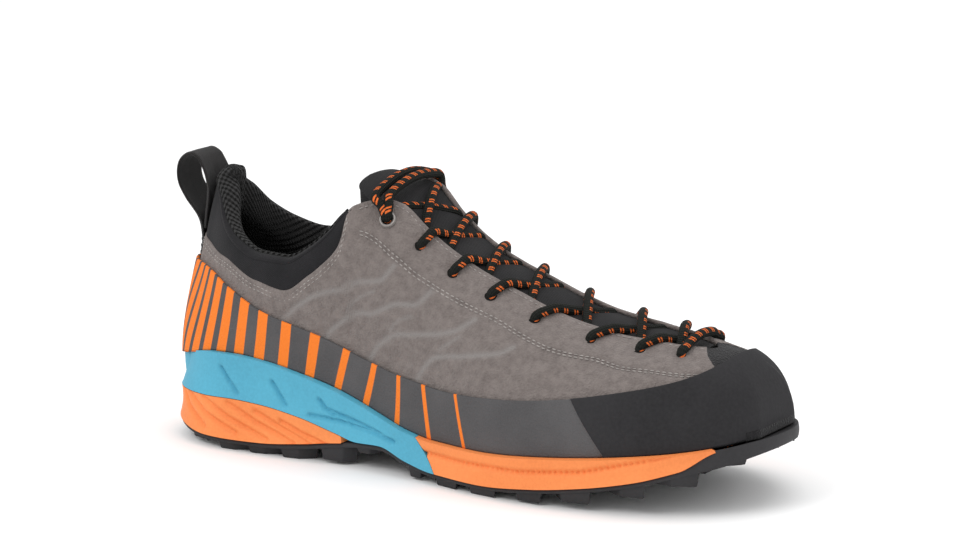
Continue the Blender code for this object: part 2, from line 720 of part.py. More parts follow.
def make_heel_wedge():
    """Orange foam between the blue cup and the tread under the heel."""
    def section(station, side):
        points = [lay(station, side, share, "base", GAP) for share in (0.0, MIDWAY)]
        wall = side_wall(station, side, "base", "seam", 3)
        wall[0][2] += GAP
        points += wall + [lay(station, side, share, "seam") for share in (MIDWAY, 0.0)]
        return points
    return disc("heel_wedge", sole_stations(0, WEDGE_END), section, "foam_orange")


def make_midsole_fore():
    """Orange foam under the forefoot, drawn to a thin tip under the toe cap."""
    def section(station, side):
        return foam_section(station, side, "base")
    stations = sole_stations(BLUE_END + FOAM_SEAM, FORE_END)
    return disc("midsole_fore", stations, section, "foam_orange")


def lug(bm, corners, tread):
    """Tapered block from its root in the rubber sheet down to the tread."""
    middle = np.mean(corners, axis=0)
    top, low = [], []
    for corner in corners:
        station = (corner[0] + HEEL_CENTRE) / LENGTH
        top.append(np.array([*corner, level("sheet", station) + LUG_SINK]))
        pull = (middle - corner) / np.linalg.norm(middle - corner) * LUG_TAPER
        low.append(np.array([*(corner + pull), tread]))
    a = [bm.verts.new(p) for p in top]
    b = [bm.verts.new(p) for p in low]
    for i in range(4):
        j = (i + 1) % 4
        bm.faces.new((a[i], a[j], b[j], b[i]))
    bm.faces.new(reversed(a))
    bm.faces.new(b)


def make_outsole():
    """Rubber sheet with a toe bumper, and lugs joined on by a Boolean union."""
    def section(station, side):
        low = [lay(station, side, share, "sheet", 0.0, OUTSOLE_INSET) for share in (0.0, MIDWAY, 1.0)]
        high = [lay(station, side, share, "base", 0.0, OUTSOLE_INSET) for share in (1.0, MIDWAY, 0.0)]
        return low + high
    stations = [foam_foot(station) for station in sole_stations(0, 1)]
    sheet = disc("outsole", stations, section, "tread_rubber")
    bm = bmesh.new()
    for start, end in EDGE_LUGS:
        for side in (-1, 1):
            corners = []
            for station, inset in ((start, 0.0), (end, 0.0), (end, 1.0), (start, 1.0)):
                reach = OUTSOLE_INSET + LUG_SINK + LUG_REACH * inset
                corners.append(outline(station, side, reach))
            lug(bm, corners, lug_level(start, end))
    for station in HEEL_LUGS:
        centre_lug(bm, station, 0.0)
    for station in FORE_LUGS:
        for side in (-1, 1):
            centre_lug(bm, station, side * CENTRE_STEP)
    toe_lug(bm)
    lugs = make_object("lugs", bm, None)
    lugs.hide_render = True
    lugs.display_type = "WIRE"
    union = sheet.modifiers.new("lugs", "BOOLEAN")
    union.operation = "UNION"
    union.object = lugs
    return sheet


def lug_level(start, end):
    """Tread under a lug, level so that its face is flat."""
    return min(level("tread", start), level("tread", end), level("tread", (start + end) / 2))


def centre_lug(bm, station, across):
    half = CENTRE_LUG / 2
    share = half / LENGTH
    middle = station * LENGTH - HEEL_CENTRE
    corners = [np.array([middle + dx * half, across + dy * half * 0.85])
               for dx, dy in ((-1, -1), (1, -1), (1, 1), (-1, 1))]
    lug(bm, corners, lug_level(station - share, station + share))


def toe_lug(bm):
    """Bumper lug across the front of the toe."""
    for side in (-1, 1):
        corners = [outline(0.955, side, 0.0025), outline(0.992, side, 0.0025),
                   outline(0.992, side, 0.0125), outline(0.955, side, 0.0160)]
        lug(bm, corners, level("tread", 0.965))


def make_insole():
    """Removable footbed on the seat, clear of the upper."""
    def section(station, side):
        turn = turn_at(station, side)
        low = [lay(station, side, share, "seat", GAP) for share in (0.0, MIDWAY)]
        seat = skin(turn, 0.0)[2]
        edge = []
        for rise in (0.0, INSOLE_THICK):
            v = v_at_height(turn, seat + rise)
            out = normal(turn, v)[:2]
            flat = skin(turn, v)[:2] - out * (WALL + 3 * GAP) / np.dot(out, out)
            edge.append(np.array([*flat, seat + rise]))
        return low + edge + [point + [0, 0, INSOLE_THICK] for point in reversed(low)]
    return disc("insole", sole_stations(0, 1), section, "insole_foam")


def make_loop():
    """Webbing pull loop, sewn flat to the heel and into the top of the collar."""
    bm = bmesh.new()
    head = skin(0.0, 1.0)
    path = [head + [x, 0.0, z] for x, z in LOOP_PATH]
    knots = list(range(len(path)))
    fine = []
    for i in range(22):
        at = i * (len(path) - 1) / 21
        fine.append(np.array([smooth(knots, [p[0] for p in path], at), 0.0,
                              smooth(knots, [p[2] for p in path], at)]))
    columns = []
    for i, point in enumerate(fine):
        run = fine[min(i + 1, len(fine) - 1)] - fine[max(i - 1, 0)]
        out = np.array([-run[2], 0.0, run[0]])
        out = out / np.linalg.norm(out) * LOOP_THICK / 2
        half = np.array([0.0, LOOP_WIDTH / 2, 0.0])
        columns.append([point - half - out, point + half - out, point + half + out, point - half + out])
    bridge(bm, columns)
    return make_object("pull_loop", bm, "webbing")


def tube(bm, path, radius, sides=LACE_SIDES):
    """Closed round cord along a list of points."""
    columns = []
    up = np.array([0.0, 0.0, 1.0])
    for i, point in enumerate(path):
        run = path[min(i + 1, len(path) - 1)] - path[max(i - 1, 0)]
        run = run / np.linalg.norm(run)
        right = np.cross(run, up)
        right = right / np.linalg.norm(right)
        high = np.cross(right, run)
        ring = []
        for k in range(sides):
            angle = 2 * math.pi * (k + 0.5) / sides
            ring.append(point + (right * math.cos(angle) + high * math.sin(angle)) * radius)
        columns.append(ring)
    bridge(bm, columns)


def lace_turn(index, side):
    """Turn of the upper beside a row of the lace."""
    target = smooth(list(range(-1, LACE_ROWS)), LACE_HEADS, index)
    low, high = 9.0, float(LAST_ROW)
    for _ in range(30):
        middle = (low + high) / 2
        if smooth(ROWS, SEC["head"], middle) < target:
            low = middle
        else:
            high = middle
    row = (low + high) / 2
    return row if side < 0 else 2 * LAST_ROW - row


def stay(index, side, inward, height):
    """Point over the eyestay, so far in from its edge, and the face's normal there."""
    turn = lace_turn(index, side)
    length = np.linalg.norm(skin(turn, 1.0) - skin(turn, 0.8)) / 0.2
    v = 1 - inward / length
    return face(turn, v, height), normal(turn, v)


def across(start, end, lift):
    """Three points of a strand between the eyestays, lifted in the middle."""
    return [start + (end - start) * share + [0, 0, lift * 4 * share * (1 - share)]
            for share in (0.25, 0.5, 0.75)]


def strand(index, side):
    """Lace from a hole, over its edge and the tongue, to the far edge one row on."""
    lift = LACE_DIAMETER / 2 + 2 * GAP
    start = index if index > 0 else FIRST_STRAND
    edge = stay(start, side, 0.0010, lift + OVER_EDGE)[0]
    far = stay(index + UNDER_STEP, -side, 0.0, lift)[0]
    end = far + (edge - far) * LACE_SHORT
    if index > 0:
        path = [stay(index, side, reach, lift)[0] for reach in (EYELET_IN, EYELET_IN / 2)] + [edge]
        rise = LACE_LIFT
    else:
        path = [edge + (far - edge) * LACE_SHORT]
        rise = FIRST_LIFT
    return path + across(path[-1], end, rise) + [end]


def cord(name, path):
    """One closed cord as an object."""
    bm = bmesh.new()
    tube(bm, path, LACE_DIAMETER / 2)
    return make_object(name, bm, "lace")


def make_crossing(index):
    """Two strands joined into one body by a Boolean union."""
    joined = cord(f"lace_crossing_{index + 1}", strand(index, -1))
    other = cord(f"strand_{index + 1}", strand(index, 1))
    other.hide_render = True
    other.display_type = "WIRE"
    union = joined.modifiers.new("crossing", "BOOLEAN")
    union.operation = "UNION"
    union.object = other


def make_lace():
    """Crossings of the lace, a bar across the toe end and two bars at the top."""
    lift = LACE_DIAMETER / 2 + GAP
    for index in range(LACE_ROWS - 1):
        make_crossing(index)
    ends = []
    for side in (-1, 1):
        ends.append([stay(LACE_ROWS - 1, side, inward, lift)[0]
                     for inward in (EYELET_IN, EYELET_IN / 2, 0.0010)])
        ends[-1][-1][2] += OVER_EDGE
    cord("lace_toe_bar", ends[0] + across(ends[0][-1], ends[1][-1], LACE_LIFT) + ends[1][::-1])
    for number, (lateral, medial, rise) in enumerate(TOP_BARS, 1):
        a = stay(lateral, -1, 0.0, lift + TOP_BAR_OVER)[0]
        b = stay(medial, 1, 0.0, lift + TOP_BAR_OVER)[0]
        start, end = a + (b - a) * TOP_BAR_SHORT, b + (a - b) * TOP_BAR_SHORT
        cord(f"lace_top_{number}", [start] + across(start, end, rise) + [end])


def make_eyelets():
    """Metal rings round the top pair of eyelets."""
    for side, word in ((-1, "lateral"), (1, "medial")):
        bm = bmesh.new()
        centre, up = stay(0, side, EYELET_IN, 0.0)
        right = np.cross(up, [0, 0, 1.0])
        right = right / np.linalg.norm(right)
        high = np.cross(right, up)
        columns = []
        for i in range(EYELET_SIDES):
            angle = 2 * math.pi * i / EYELET_SIDES
            spoke = right * math.cos(angle) + high * math.sin(angle)
            inner, outer = EYELET_HOLE / 2, EYELET_OUTER / 2
            low, top = GAP, GAP + EYELET_HEIGHT
            columns.append([centre + spoke * outer + up * low,
                            centre + spoke * (outer - 0.0004) + up * top * 0.8,
                            centre + spoke * (inner + outer) / 2 + up * top,
                            centre + spoke * (inner + 0.0002) + up * top * 0.8,
                            centre + spoke * inner + up * low])
        bridge(bm, columns, closed_along=True)
        make_object(f"eyelet_{word}", bm, "metal")


for old in list(bpy.data.objects):
    bpy.data.objects.remove(old, do_unlink=True)

make_outsole()
make_heel_wedge()
make_midsole_heel()
make_midsole_fore()
make_upper()
make_collar()
make_rand()
make_cap()
make_insole()
make_tongue()
make_loop()
make_eyelets()
make_lace()
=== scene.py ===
# %% [markdown]
# An approach shoe, dressed for its picture. The imported model holds the plain solids; this
# lesson builds the fine surfaces around them: suede, rubber, foam, webbing, mesh and lace.
# It begins by loading that model.

# %% Load the frame
import json
import math
import bmesh
import bpy
import numpy as np
from mathutils import Matrix, Vector
from mathutils import noise as perlin
from mathutils.kdtree import KDTree

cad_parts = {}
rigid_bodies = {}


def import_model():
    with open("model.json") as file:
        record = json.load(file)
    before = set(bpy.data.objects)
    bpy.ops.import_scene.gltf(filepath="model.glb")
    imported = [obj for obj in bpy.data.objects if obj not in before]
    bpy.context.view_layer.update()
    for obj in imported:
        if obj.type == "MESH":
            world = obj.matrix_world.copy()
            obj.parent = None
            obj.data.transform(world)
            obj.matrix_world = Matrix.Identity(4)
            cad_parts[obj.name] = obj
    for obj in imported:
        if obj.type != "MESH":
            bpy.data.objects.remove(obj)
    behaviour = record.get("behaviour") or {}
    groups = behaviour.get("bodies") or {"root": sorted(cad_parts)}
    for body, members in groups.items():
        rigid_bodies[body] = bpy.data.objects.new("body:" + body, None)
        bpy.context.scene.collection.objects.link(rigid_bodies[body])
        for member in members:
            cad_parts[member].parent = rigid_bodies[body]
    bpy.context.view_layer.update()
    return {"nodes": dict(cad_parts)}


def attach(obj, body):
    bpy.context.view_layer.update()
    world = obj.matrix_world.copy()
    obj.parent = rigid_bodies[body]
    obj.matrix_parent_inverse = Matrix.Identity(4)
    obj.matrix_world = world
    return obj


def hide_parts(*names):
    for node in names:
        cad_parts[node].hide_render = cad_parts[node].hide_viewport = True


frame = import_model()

# %% [markdown]
# The picture is taken with a long lens from the shoe's outer side, a little above it. The
# camera looks at the middle of the shoe, and a small shift puts that point in its place.

# %% Camera
HEEL_CENTRE = 0.058
CAMERA_TURN, CAMERA_RISE, CAMERA_ROLL = math.radians(31.0), math.radians(13.2), math.radians(0.2)
CAMERA_WAY = 1.766
FOCAL_PIXELS, IMAGE_WIDE, IMAGE_HIGH = 4170, 978, 550
AIM_PIXEL = (480.5, 359.0)
AIM = Vector((0.1465 - HEEL_CENTRE, 0.0, 0.045))


def linked(name, data):
    """New object with this data, in the scene."""
    thing = bpy.data.objects.new(name, data)
    bpy.context.scene.collection.objects.link(thing)
    return thing


def make_camera():
    turn, rise, roll = CAMERA_TURN, CAMERA_RISE, CAMERA_ROLL
    back = Vector((math.sin(turn) * math.cos(rise), -math.cos(turn) * math.cos(rise), math.sin(rise)))
    right = Vector((math.cos(turn), math.sin(turn), 0.0))
    up = back.cross(right)
    right, up = (right * math.cos(roll) - up * math.sin(roll),
                 right * math.sin(roll) + up * math.cos(roll))
    data = bpy.data.cameras.new("camera")
    data.sensor_width = 36.0
    data.lens = 36.0 * FOCAL_PIXELS / IMAGE_WIDE
    data.shift_x = -(AIM_PIXEL[0] - IMAGE_WIDE / 2) / IMAGE_WIDE
    data.shift_y = (AIM_PIXEL[1] - IMAGE_HIGH / 2) / IMAGE_WIDE
    camera = linked("camera", data)
    matrix = Matrix((right, up, back)).transposed().to_4x4()
    matrix.translation = AIM + back * CAMERA_WAY
    camera.matrix_world = matrix
    bpy.context.scene.camera = camera
    return camera


print("camera at", [round(v, 3) for v in make_camera().matrix_world.translation])

# %% [markdown]
# A studio product picture has a white floor that runs into a white wall, and large soft
# lights. The floor isn't part of the shoe.

# %% Floor and light
LIGHT_AIM = (0.09, 0.0, 0.05)


def area_light(name, place, size, power):
    data = bpy.data.lights.new(name, "AREA")
    data.shape, data.size, data.energy = "DISK", size, power
    lamp = linked(name, data)
    lamp.location = place
    way = Vector(LIGHT_AIM) - Vector(place)
    lamp.rotation_euler = way.to_track_quat("-Z", "Y").to_euler()
    return lamp


def make_stage():
    bm = bmesh.new()
    bmesh.ops.create_grid(bm, x_segments=1, y_segments=1, size=6.0)
    mesh = bpy.data.meshes.new("floor")
    bm.to_mesh(mesh)
    bm.free()
    floor = linked("floor", mesh)
    paint = bpy.data.materials.new("floor_white")
    paint.use_nodes = True
    shader = paint.node_tree.nodes["Principled BSDF"]
    shader.inputs["Base Color"].default_value = (0.93, 0.93, 0.93, 1.0)
    shader.inputs["Roughness"].default_value = 0.9
    mesh.materials.append(paint)
    world = bpy.data.worlds.new("studio")
    world.use_nodes = True
    world.node_tree.nodes["Background"].inputs["Color"].default_value = (1.0, 1.0, 1.0, 1.0)
    world.node_tree.nodes["Background"].inputs["Strength"].default_value = 1.0
    bpy.context.scene.world = world
    bpy.context.scene.view_settings.view_transform = "Standard"


make_stage()
area_light("key", (-0.35, -1.1, 1.25), 0.9, 8.0)
area_light("top", (0.35, 0.25, 1.5), 1.2, 5.0)
area_light("rim", (1.1, 0.9, 0.8), 0.8, 2.5)
print("floor, world and", len(bpy.data.lights), "lights")

# %% [markdown]
# Everything on the shoe follows its last, the foot-shaped block that a maker stretches the
# upper over. It is worked out here from a few sizes and short tables: the sole's outline
# and levels, and one row for each section of the upper from the heel to the toe.

# %% Sizes of the last
LENGTH, BALL_WIDTH, HEEL_WIDTH = 0.292, 0.104, 0.076
COLLAR_HEIGHT, INSTEP_HEIGHT = 0.116, 0.113
SOLE_HEIGHT, TOE_SPRING = 0.042, 0.024
GAP, WALL, SUEDE_STEP = 0.0003, 0.0020, 0.0007
FEATHER_INSET = 0.0048
WAIST_FROM, WAIST_TO, INSTEP_FROM, INSTEP_TO = 0.30, 0.60, 0.25, 0.35
HEEL_ROUND, TOE_ROUND, HEEL_POWER, TOE_POWER = 0.13, 0.17, 2.3, 2.2

OUTLINE_COLUMNS = ("station", "lateral", "medial")
OUTLINE = (
    (0.00, 0.450, 0.450), (0.08, 0.485, 0.485), (0.15, 0.510, 0.505), (0.28, 0.500, 0.460),
    (0.40, 0.468, 0.375), (0.50, 0.452, 0.355), (0.60, 0.480, 0.420), (0.68, 0.500, 0.485),
    (0.76, 0.485, 0.505), (0.85, 0.440, 0.490), (0.93, 0.390, 0.450), (1.00, 0.340, 0.400),
)
PROFILE_COLUMNS = ("station", "spring", "tread", "sheet", "base", "seam", "seat", "rim", "lean")
PROFILE = (
    (0.00, 0.00, 0.167, 0.186, 0.229, 0.519, 0.655, 0.857, 0.100),
    (0.04, 0.00, 0.100, 0.124, 0.171, 0.529, 0.655, 0.917, 0.100),
    (0.10, 0.00, 0.038, 0.080, 0.119, 0.538, 0.650, 0.988, 0.085),
    (0.15, 0.00, 0.000, 0.076, 0.117, 0.548, 0.643, 1.000, 0.065),
    (0.20, 0.00, 0.000, 0.079, 0.124, 0.529, 0.631, 0.974, 0.045),
    (0.27, 0.00, 0.000, 0.119, 0.171, 0.452, 0.600, 0.881, 0.030),
    (0.33, 0.00, 0.095, 0.181, 0.233, 0.340, 0.557, 0.769, 0.020),
    (0.37, 0.00, 0.170, 0.219, 0.269, 0.275, 0.521, 0.679, 0.012),
    (0.41, 0.00, 0.190, 0.233, 0.283, 0.283, 0.481, 0.586, 0.008),
    (0.46, 0.00, 0.076, 0.133, 0.179, 0.179, 0.438, 0.481, 0.005),
    (0.51, 0.00, 0.000, 0.076, 0.117, 0.117, 0.410, 0.436, 0.000),
    (0.60, 0.00, 0.000, 0.071, 0.110, 0.110, 0.398, 0.433, 0.000),
    (0.685, 0.06, 0.000, 0.083, 0.124, 0.124, 0.378, 0.436, 0.000),
    (0.76, 0.17, 0.000, 0.088, 0.129, 0.129, 0.350, 0.419, 0.000),
    (0.84, 0.35, 0.000, 0.090, 0.133, 0.133, 0.312, 0.379, 0.000),
    (0.90, 0.56, 0.000, 0.090, 0.140, 0.140, 0.256, 0.312, 0.000),
    (0.945, 0.74, 0.000, 0.070, 0.238, 0.238, 0.240, 0.258, 0.000),
    (1.00, 1.00, 0.000, 0.060, 0.171, 0.171, 0.172, 0.186, 0.000),
)
SECTION_COLUMNS = ("foot", "head", "lateral", "medial", "up_lateral", "up_medial", "bulge",
                   "low", "swell", "in_lateral", "in_medial", "high_lateral", "high_medial",
                   "panel")
SECTIONS = (
    (0.000, 0.050, 0.000, 0.000, 0.953, 0.953, 0.050, 0.30, 0.070, 0.00, 0.00, 0.30, 0.30, 0.72),
    (0.012, 0.057, 0.092, 0.092, 0.935, 0.935, 0.045, 0.30, 0.060, 0.00, 0.00, 0.30, 0.30, 0.72),
    (0.040, 0.074, 0.164, 0.164, 0.892, 0.892, 0.042, 0.30, 0.050, 0.00, 0.00, 0.30, 0.30, 0.74),
    (0.085, 0.095, 0.250, 0.250, 0.819, 0.825, 0.050, 0.30, 0.050, 0.05, 0.05, 0.30, 0.30, 0.80),
    (0.130, 0.130, 0.342, 0.336, 0.759, 0.768, 0.052, 0.32, 0.055, 0.10, 0.10, 0.30, 0.30, 0.86),
    (0.185, 0.182, 0.408, 0.395, 0.720, 0.735, 0.050, 0.35, 0.050, 0.15, 0.15, 0.30, 0.30, 0.83),
    (0.240, 0.233, 0.434, 0.415, 0.720, 0.740, 0.040, 0.35, 0.045, 0.20, 0.20, 0.30, 0.30, 0.78),
    (0.290, 0.277, 0.428, 0.400, 0.779, 0.800, 0.035, 0.38, 0.040, 0.30, 0.30, 0.27, 0.27, 0.82),
    (0.325, 0.308, 0.401, 0.370, 0.859, 0.880, 0.030, 0.40, 0.030, 0.40, 0.40, 0.24, 0.24, 0.83),
    (0.345, 0.325, 0.379, 0.350, 0.925, 0.945, 0.030, 0.40, 0.025, 0.50, 0.48, 0.21, 0.21, 0.83),
    (0.360, 0.341, 0.349, 0.325, 0.973, 0.990, 0.030, 0.40, 0.020, 0.60, 0.55, 0.18, 0.19, 0.94),
    (0.380, 0.360, 0.285, 0.270, 0.996, 1.018, 0.030, 0.40, 0.020, 0.70, 0.60, 0.16, 0.18, 0.97),
    (0.400, 0.380, 0.229, 0.222, 1.004, 1.036, 0.030, 0.42, 0.020, 0.75, 0.60, 0.15, 0.18, 0.97),
    (0.425, 0.406, 0.190, 0.186, 0.987, 1.018, 0.030, 0.44, 0.020, 0.75, 0.58, 0.14, 0.18, 0.97),
    (0.465, 0.449, 0.167, 0.164, 0.898, 0.915, 0.030, 0.46, 0.015, 0.70, 0.52, 0.13, 0.18, 0.97),
    (0.530, 0.517, 0.147, 0.145, 0.792, 0.796, 0.035, 0.50, 0.010, 0.62, 0.46, 0.12, 0.18, 0.97),
    (0.600, 0.596, 0.135, 0.132, 0.708, 0.720, 0.040, 0.54, 0.005, 0.58, 0.42, 0.10, 0.18, 0.97),
    (0.680, 0.685, 0.125, 0.123, 0.627, 0.643, 0.040, 0.58, 0.000, 0.56, 0.42, 0.08, 0.17, 0.97),
    (0.760, 0.774, 0.111, 0.110, 0.587, 0.606, 0.035, 0.64, 0.000, 0.58, 0.44, 0.06, 0.15, 0.97),
    (0.840, 0.842, 0.091, 0.090, 0.575, 0.584, 0.030, 0.70, 0.000, 0.62, 0.46, 0.05, 0.12, 0.97),
    (0.905, 0.873, 0.0625, 0.062, 0.568, 0.572, 0.018, 0.65, 0.000, 0.66, 0.52, 0.05, 0.10, 0.97),
    (0.960, 0.887, 0.034, 0.033, 0.567, 0.568, 0.010, 0.60, 0.000, 0.68, 0.58, 0.07, 0.09, 0.97),
    (1.000, 0.892, 0.000, 0.000, 0.566, 0.566, 0.004, 0.57, 0.000, 0.63, 0.63, 0.08, 0.08, 0.97),
)
LAST_ROW = len(SECTIONS) - 1
RING_END = 2 * LAST_ROW
RAND_COLUMNS = ("station", "top")
RAND = (
    (0.00, 0.664), (0.08, 0.642), (0.13, 0.603), (0.20, 0.536), (0.28, 0.486), (0.38, 0.405),
    (0.45, 0.367), (0.54, 0.345), (0.63, 0.352), (0.74, 0.383), (0.82, 0.420), (0.91, 0.468),
    (0.96, 0.505), (1.00, 0.528),
)
print("the last has", len(SECTIONS), "sections")

# %% [markdown]
# Between the rows of a table the values run on a smooth cubic that never overshoots. The
# upper's skin is then a Bezier curve in each section: its turn runs round the shoe from
# the heel by the outer side, and its share runs from the sole, 0, to the edge, 1.

# %% Functions of the last
def smooth(xs, ys, at):
    at = min(max(at, xs[0]), xs[-1])
    k = 0
    while k < len(xs) - 2 and at > xs[k + 1]:
        k += 1
    steps = [(ys[i + 1] - ys[i]) / (xs[i + 1] - xs[i]) for i in range(len(xs) - 1)]

    def slope(i):
        if i == 0 or i == len(xs) - 1:
            return steps[min(i, len(steps) - 1)]
        before, after = steps[i - 1], steps[i]
        return 0.0 if before * after <= 0 else 2 * before * after / (before + after)

    run = xs[k + 1] - xs[k]
    t = (at - xs[k]) / run
    start = (1 + 2 * t) * (1 - t) ** 2 * ys[k] + t * (1 - t) ** 2 * run * slope(k)
    return start + t * t * (3 - 2 * t) * ys[k + 1] + t * t * (t - 1) * run * slope(k + 1)


def ease(value, low, high):
    t = np.clip((value - low) / (high - low), 0.0, 1.0)
    return t * t * (3 - 2 * t)


def table(rows, columns):
    return {name: [row[i] for row in rows] for i, name in enumerate(columns)}


OUT, PRO = table(OUTLINE, OUTLINE_COLUMNS), table(PROFILE, PROFILE_COLUMNS)
SEC, TOP = table(SECTIONS, SECTION_COLUMNS), table(RAND, RAND_COLUMNS)
ROWS = list(range(len(SECTIONS)))


def local_width(station):
    return HEEL_WIDTH + (BALL_WIDTH - HEEL_WIDTH) * ease(station, WAIST_FROM, WAIST_TO)


def local_height(station):
    return COLLAR_HEIGHT + (INSTEP_HEIGHT - COLLAR_HEIGHT) * ease(station, INSTEP_FROM, INSTEP_TO)


def level(name, station):
    spring = smooth(PRO["station"], PRO["spring"], station) * TOE_SPRING
    return spring + smooth(PRO["station"], PRO[name], station) * SOLE_HEIGHT


def lean(station):
    return smooth(PRO["station"], PRO["lean"], station) * SOLE_HEIGHT


def half_width(station, side):
    width = local_width(station) * smooth(OUT["station"], OUT["lateral" if side < 0 else "medial"], station)
    if station < HEEL_ROUND:
        width *= max(0.0, 1 - (1 - station / HEEL_ROUND) ** HEEL_POWER) ** (1 / HEEL_POWER)
    if station > 1 - TOE_ROUND:
        width *= max(0.0, 1 - (1 - (1 - station) / TOE_ROUND) ** TOE_POWER) ** (1 / TOE_POWER)
    return width


def outline(station, side, inset=0.0):
    share = inset / LENGTH
    at = share + station * (1 - 2 * share)
    width = half_width(at, side)
    width = max(0.0, width - inset * min(1.0, width / (5 * max(inset, 1e-6))))
    if station <= 0 or station >= 1:
        width = 0.0
    return np.array([at * LENGTH - HEEL_CENTRE, side * width])


def outward(station, side):
    if station <= 0 or station >= 1:
        return np.array([-1.0 if station <= 0 else 1.0, 0.0])
    step = 0.004
    run = outline(min(1, station + step), side) - outline(max(0, station - step), side)
    across = np.array([run[1], -run[0]]) * -side
    return across / np.linalg.norm(across)


def controls(turn):
    turn = turn % RING_END
    side = -1 if turn <= LAST_ROW else 1
    row = turn if side < 0 else RING_END - turn
    g = {name: smooth(ROWS, SEC[name], row) for name in SECTION_COLUMNS}
    flat = outline(g["foot"], side, FEATHER_INSET + lean(g["foot"]))
    out = np.array([*outward(g["foot"], side), 0.0])
    foot = np.array([*flat, level("seat", g["foot"]) + GAP])
    across = (g["lateral"] if side < 0 else g["medial"]) * local_width(g["head"])
    up = (g["up_lateral"] if side < 0 else g["up_medial"]) * local_height(g["head"])
    head = np.array([g["head"] * LENGTH - HEEL_CENTRE, side * across, up])
    rise, run = head[2] - foot[2], (head - foot) * [1, 1, 0]
    inner = g["in_lateral"] if side < 0 else g["in_medial"]
    fall = g["high_lateral"] if side < 0 else g["high_medial"]
    width = local_width(g["foot"])
    low = foot + out * g["bulge"] * width + [0, 0, rise * g["low"]]
    high = head - run * inner + out * g["swell"] * width - [0, 0, rise * fall]
    return np.array([foot, low, high, head])


def bezier(frame4, shares):
    v = np.asarray(shares, float)[..., None]
    a, b, c, d = frame4
    return a * (1 - v) ** 3 + 3 * b * v * (1 - v) ** 2 + 3 * c * v * v * (1 - v) + d * v ** 3


def skin(turn, share):
    return bezier(controls(turn), share)


def normal(turn, share):
    dt, dv = 0.05, 0.01
    along = skin(turn + dt, share) - skin(turn - dt, share)
    up = skin(turn, min(1, share + dv)) - skin(turn, max(0, share - dv))
    n = np.cross(along, up)
    return n / np.linalg.norm(n)


def face(turn, share, offset=0.0):
    return skin(turn, share) + normal(turn, share) * offset


def row_of(turn):
    turn = turn % RING_END
    return turn if turn <= LAST_ROW else RING_END - turn


def station_of(turn):
    return smooth(ROWS, SEC["foot"], row_of(turn))


def share_at_height(turn, height):
    frame4, low, high = controls(turn), 0.0, 1.0
    for _ in range(24):
        middle = (low + high) / 2
        if bezier(frame4, middle)[2] < height:
            low = middle
        else:
            high = middle
    return (low + high) / 2


def panel_share(turn):
    return smooth(ROWS, SEC["panel"], row_of(turn))


def rand_share(turn):
    return share_at_height(turn, smooth(TOP["station"], TOP["top"], station_of(turn)) * COLLAR_HEIGHT)


print("collar over the heel at", np.round(skin(0.0, 1.0) * 1000, 1), "mm")

# %% [markdown]
# The controls are worked out once for a fine table of turns, and from then on points on the
# skin are read from it as whole arrays. Every layer of the upper is a band of this skin: a
# closed sheet with an outer face, an inner face and a rounded rim between them.

# %% Skin as arrays
TURN_STEP = 0.02
FINE = np.array([controls(turn) for turn in np.arange(0.0, RING_END - 1e-9, TURN_STEP)])


def frames_at(turns):
    at = (np.asarray(turns, float) % RING_END) / TURN_STEP
    low = np.floor(at).astype(int)
    part = (at - low)[..., None, None]
    return FINE[low % len(FINE)] * (1 - part) + FINE[(low + 1) % len(FINE)] * part


def bezier_at(frames, shares):
    v = np.clip(shares, 0.0, 1.0)[..., None]
    a, b, c, d = (frames[..., i, :] for i in range(4))
    return a * (1 - v) ** 3 + 3 * b * v * (1 - v) ** 2 + 3 * c * v * v * (1 - v) + d * v ** 3


def skin_at(turns, shares):
    turns, shares = np.broadcast_arrays(np.asarray(turns, float), np.asarray(shares, float))
    return bezier_at(frames_at(turns), shares)


def normals_at(turns, shares):
    turns, shares = np.broadcast_arrays(np.asarray(turns, float), np.asarray(shares, float))
    along = skin_at(turns + 0.05, shares) - skin_at(turns - 0.05, shares)
    up = skin_at(turns, shares + 0.01) - skin_at(turns, shares - 0.01)
    return unit(np.cross(along, up))


def faces_at(turns, shares, offset):
    offset = np.asarray(offset, float)
    return skin_at(turns, shares) + normals_at(turns, shares) * offset[..., None]


def shares_at(turns, heights):
    """Shares at which the sections at these turns reach these heights."""
    frames = frames_at(turns)
    low, high = np.zeros(len(frames)), np.ones(len(frames))
    for _ in range(24):
        middle = (low + high) / 2
        under = bezier_at(frames, middle)[:, 2] < heights
        low, high = np.where(under, middle, low), np.where(under, high, middle)
    return (low + high) / 2


def rims_at(turns):
    return shares_at(turns, np.array([level("rim", station_of(t)) + GAP for t in turns]))


def tops_at(turns):
    tops = [smooth(TOP["station"], TOP["top"], station_of(t)) * COLLAR_HEIGHT for t in turns]
    return shares_at(turns, np.array(tops))


def unit(ways):
    return ways / np.linalg.norm(ways, axis=-1, keepdims=True)


def run_of(points):
    """Length along a line up to each of its points."""
    return np.concatenate([[0.0], np.cumsum(np.linalg.norm(np.diff(points, axis=0), axis=1))])


def even_turns(step, start=0.0, end=RING_END):
    """Turns about a step apart along the skin, from start to end."""
    coarse = np.arange(start, end + 1e-9, 0.05)
    run = run_of(skin_at(coarse, 0.45))
    count = max(2, int(run[-1] / step))
    return np.interp(np.linspace(0, run[-1], count + 1), run, coarse)


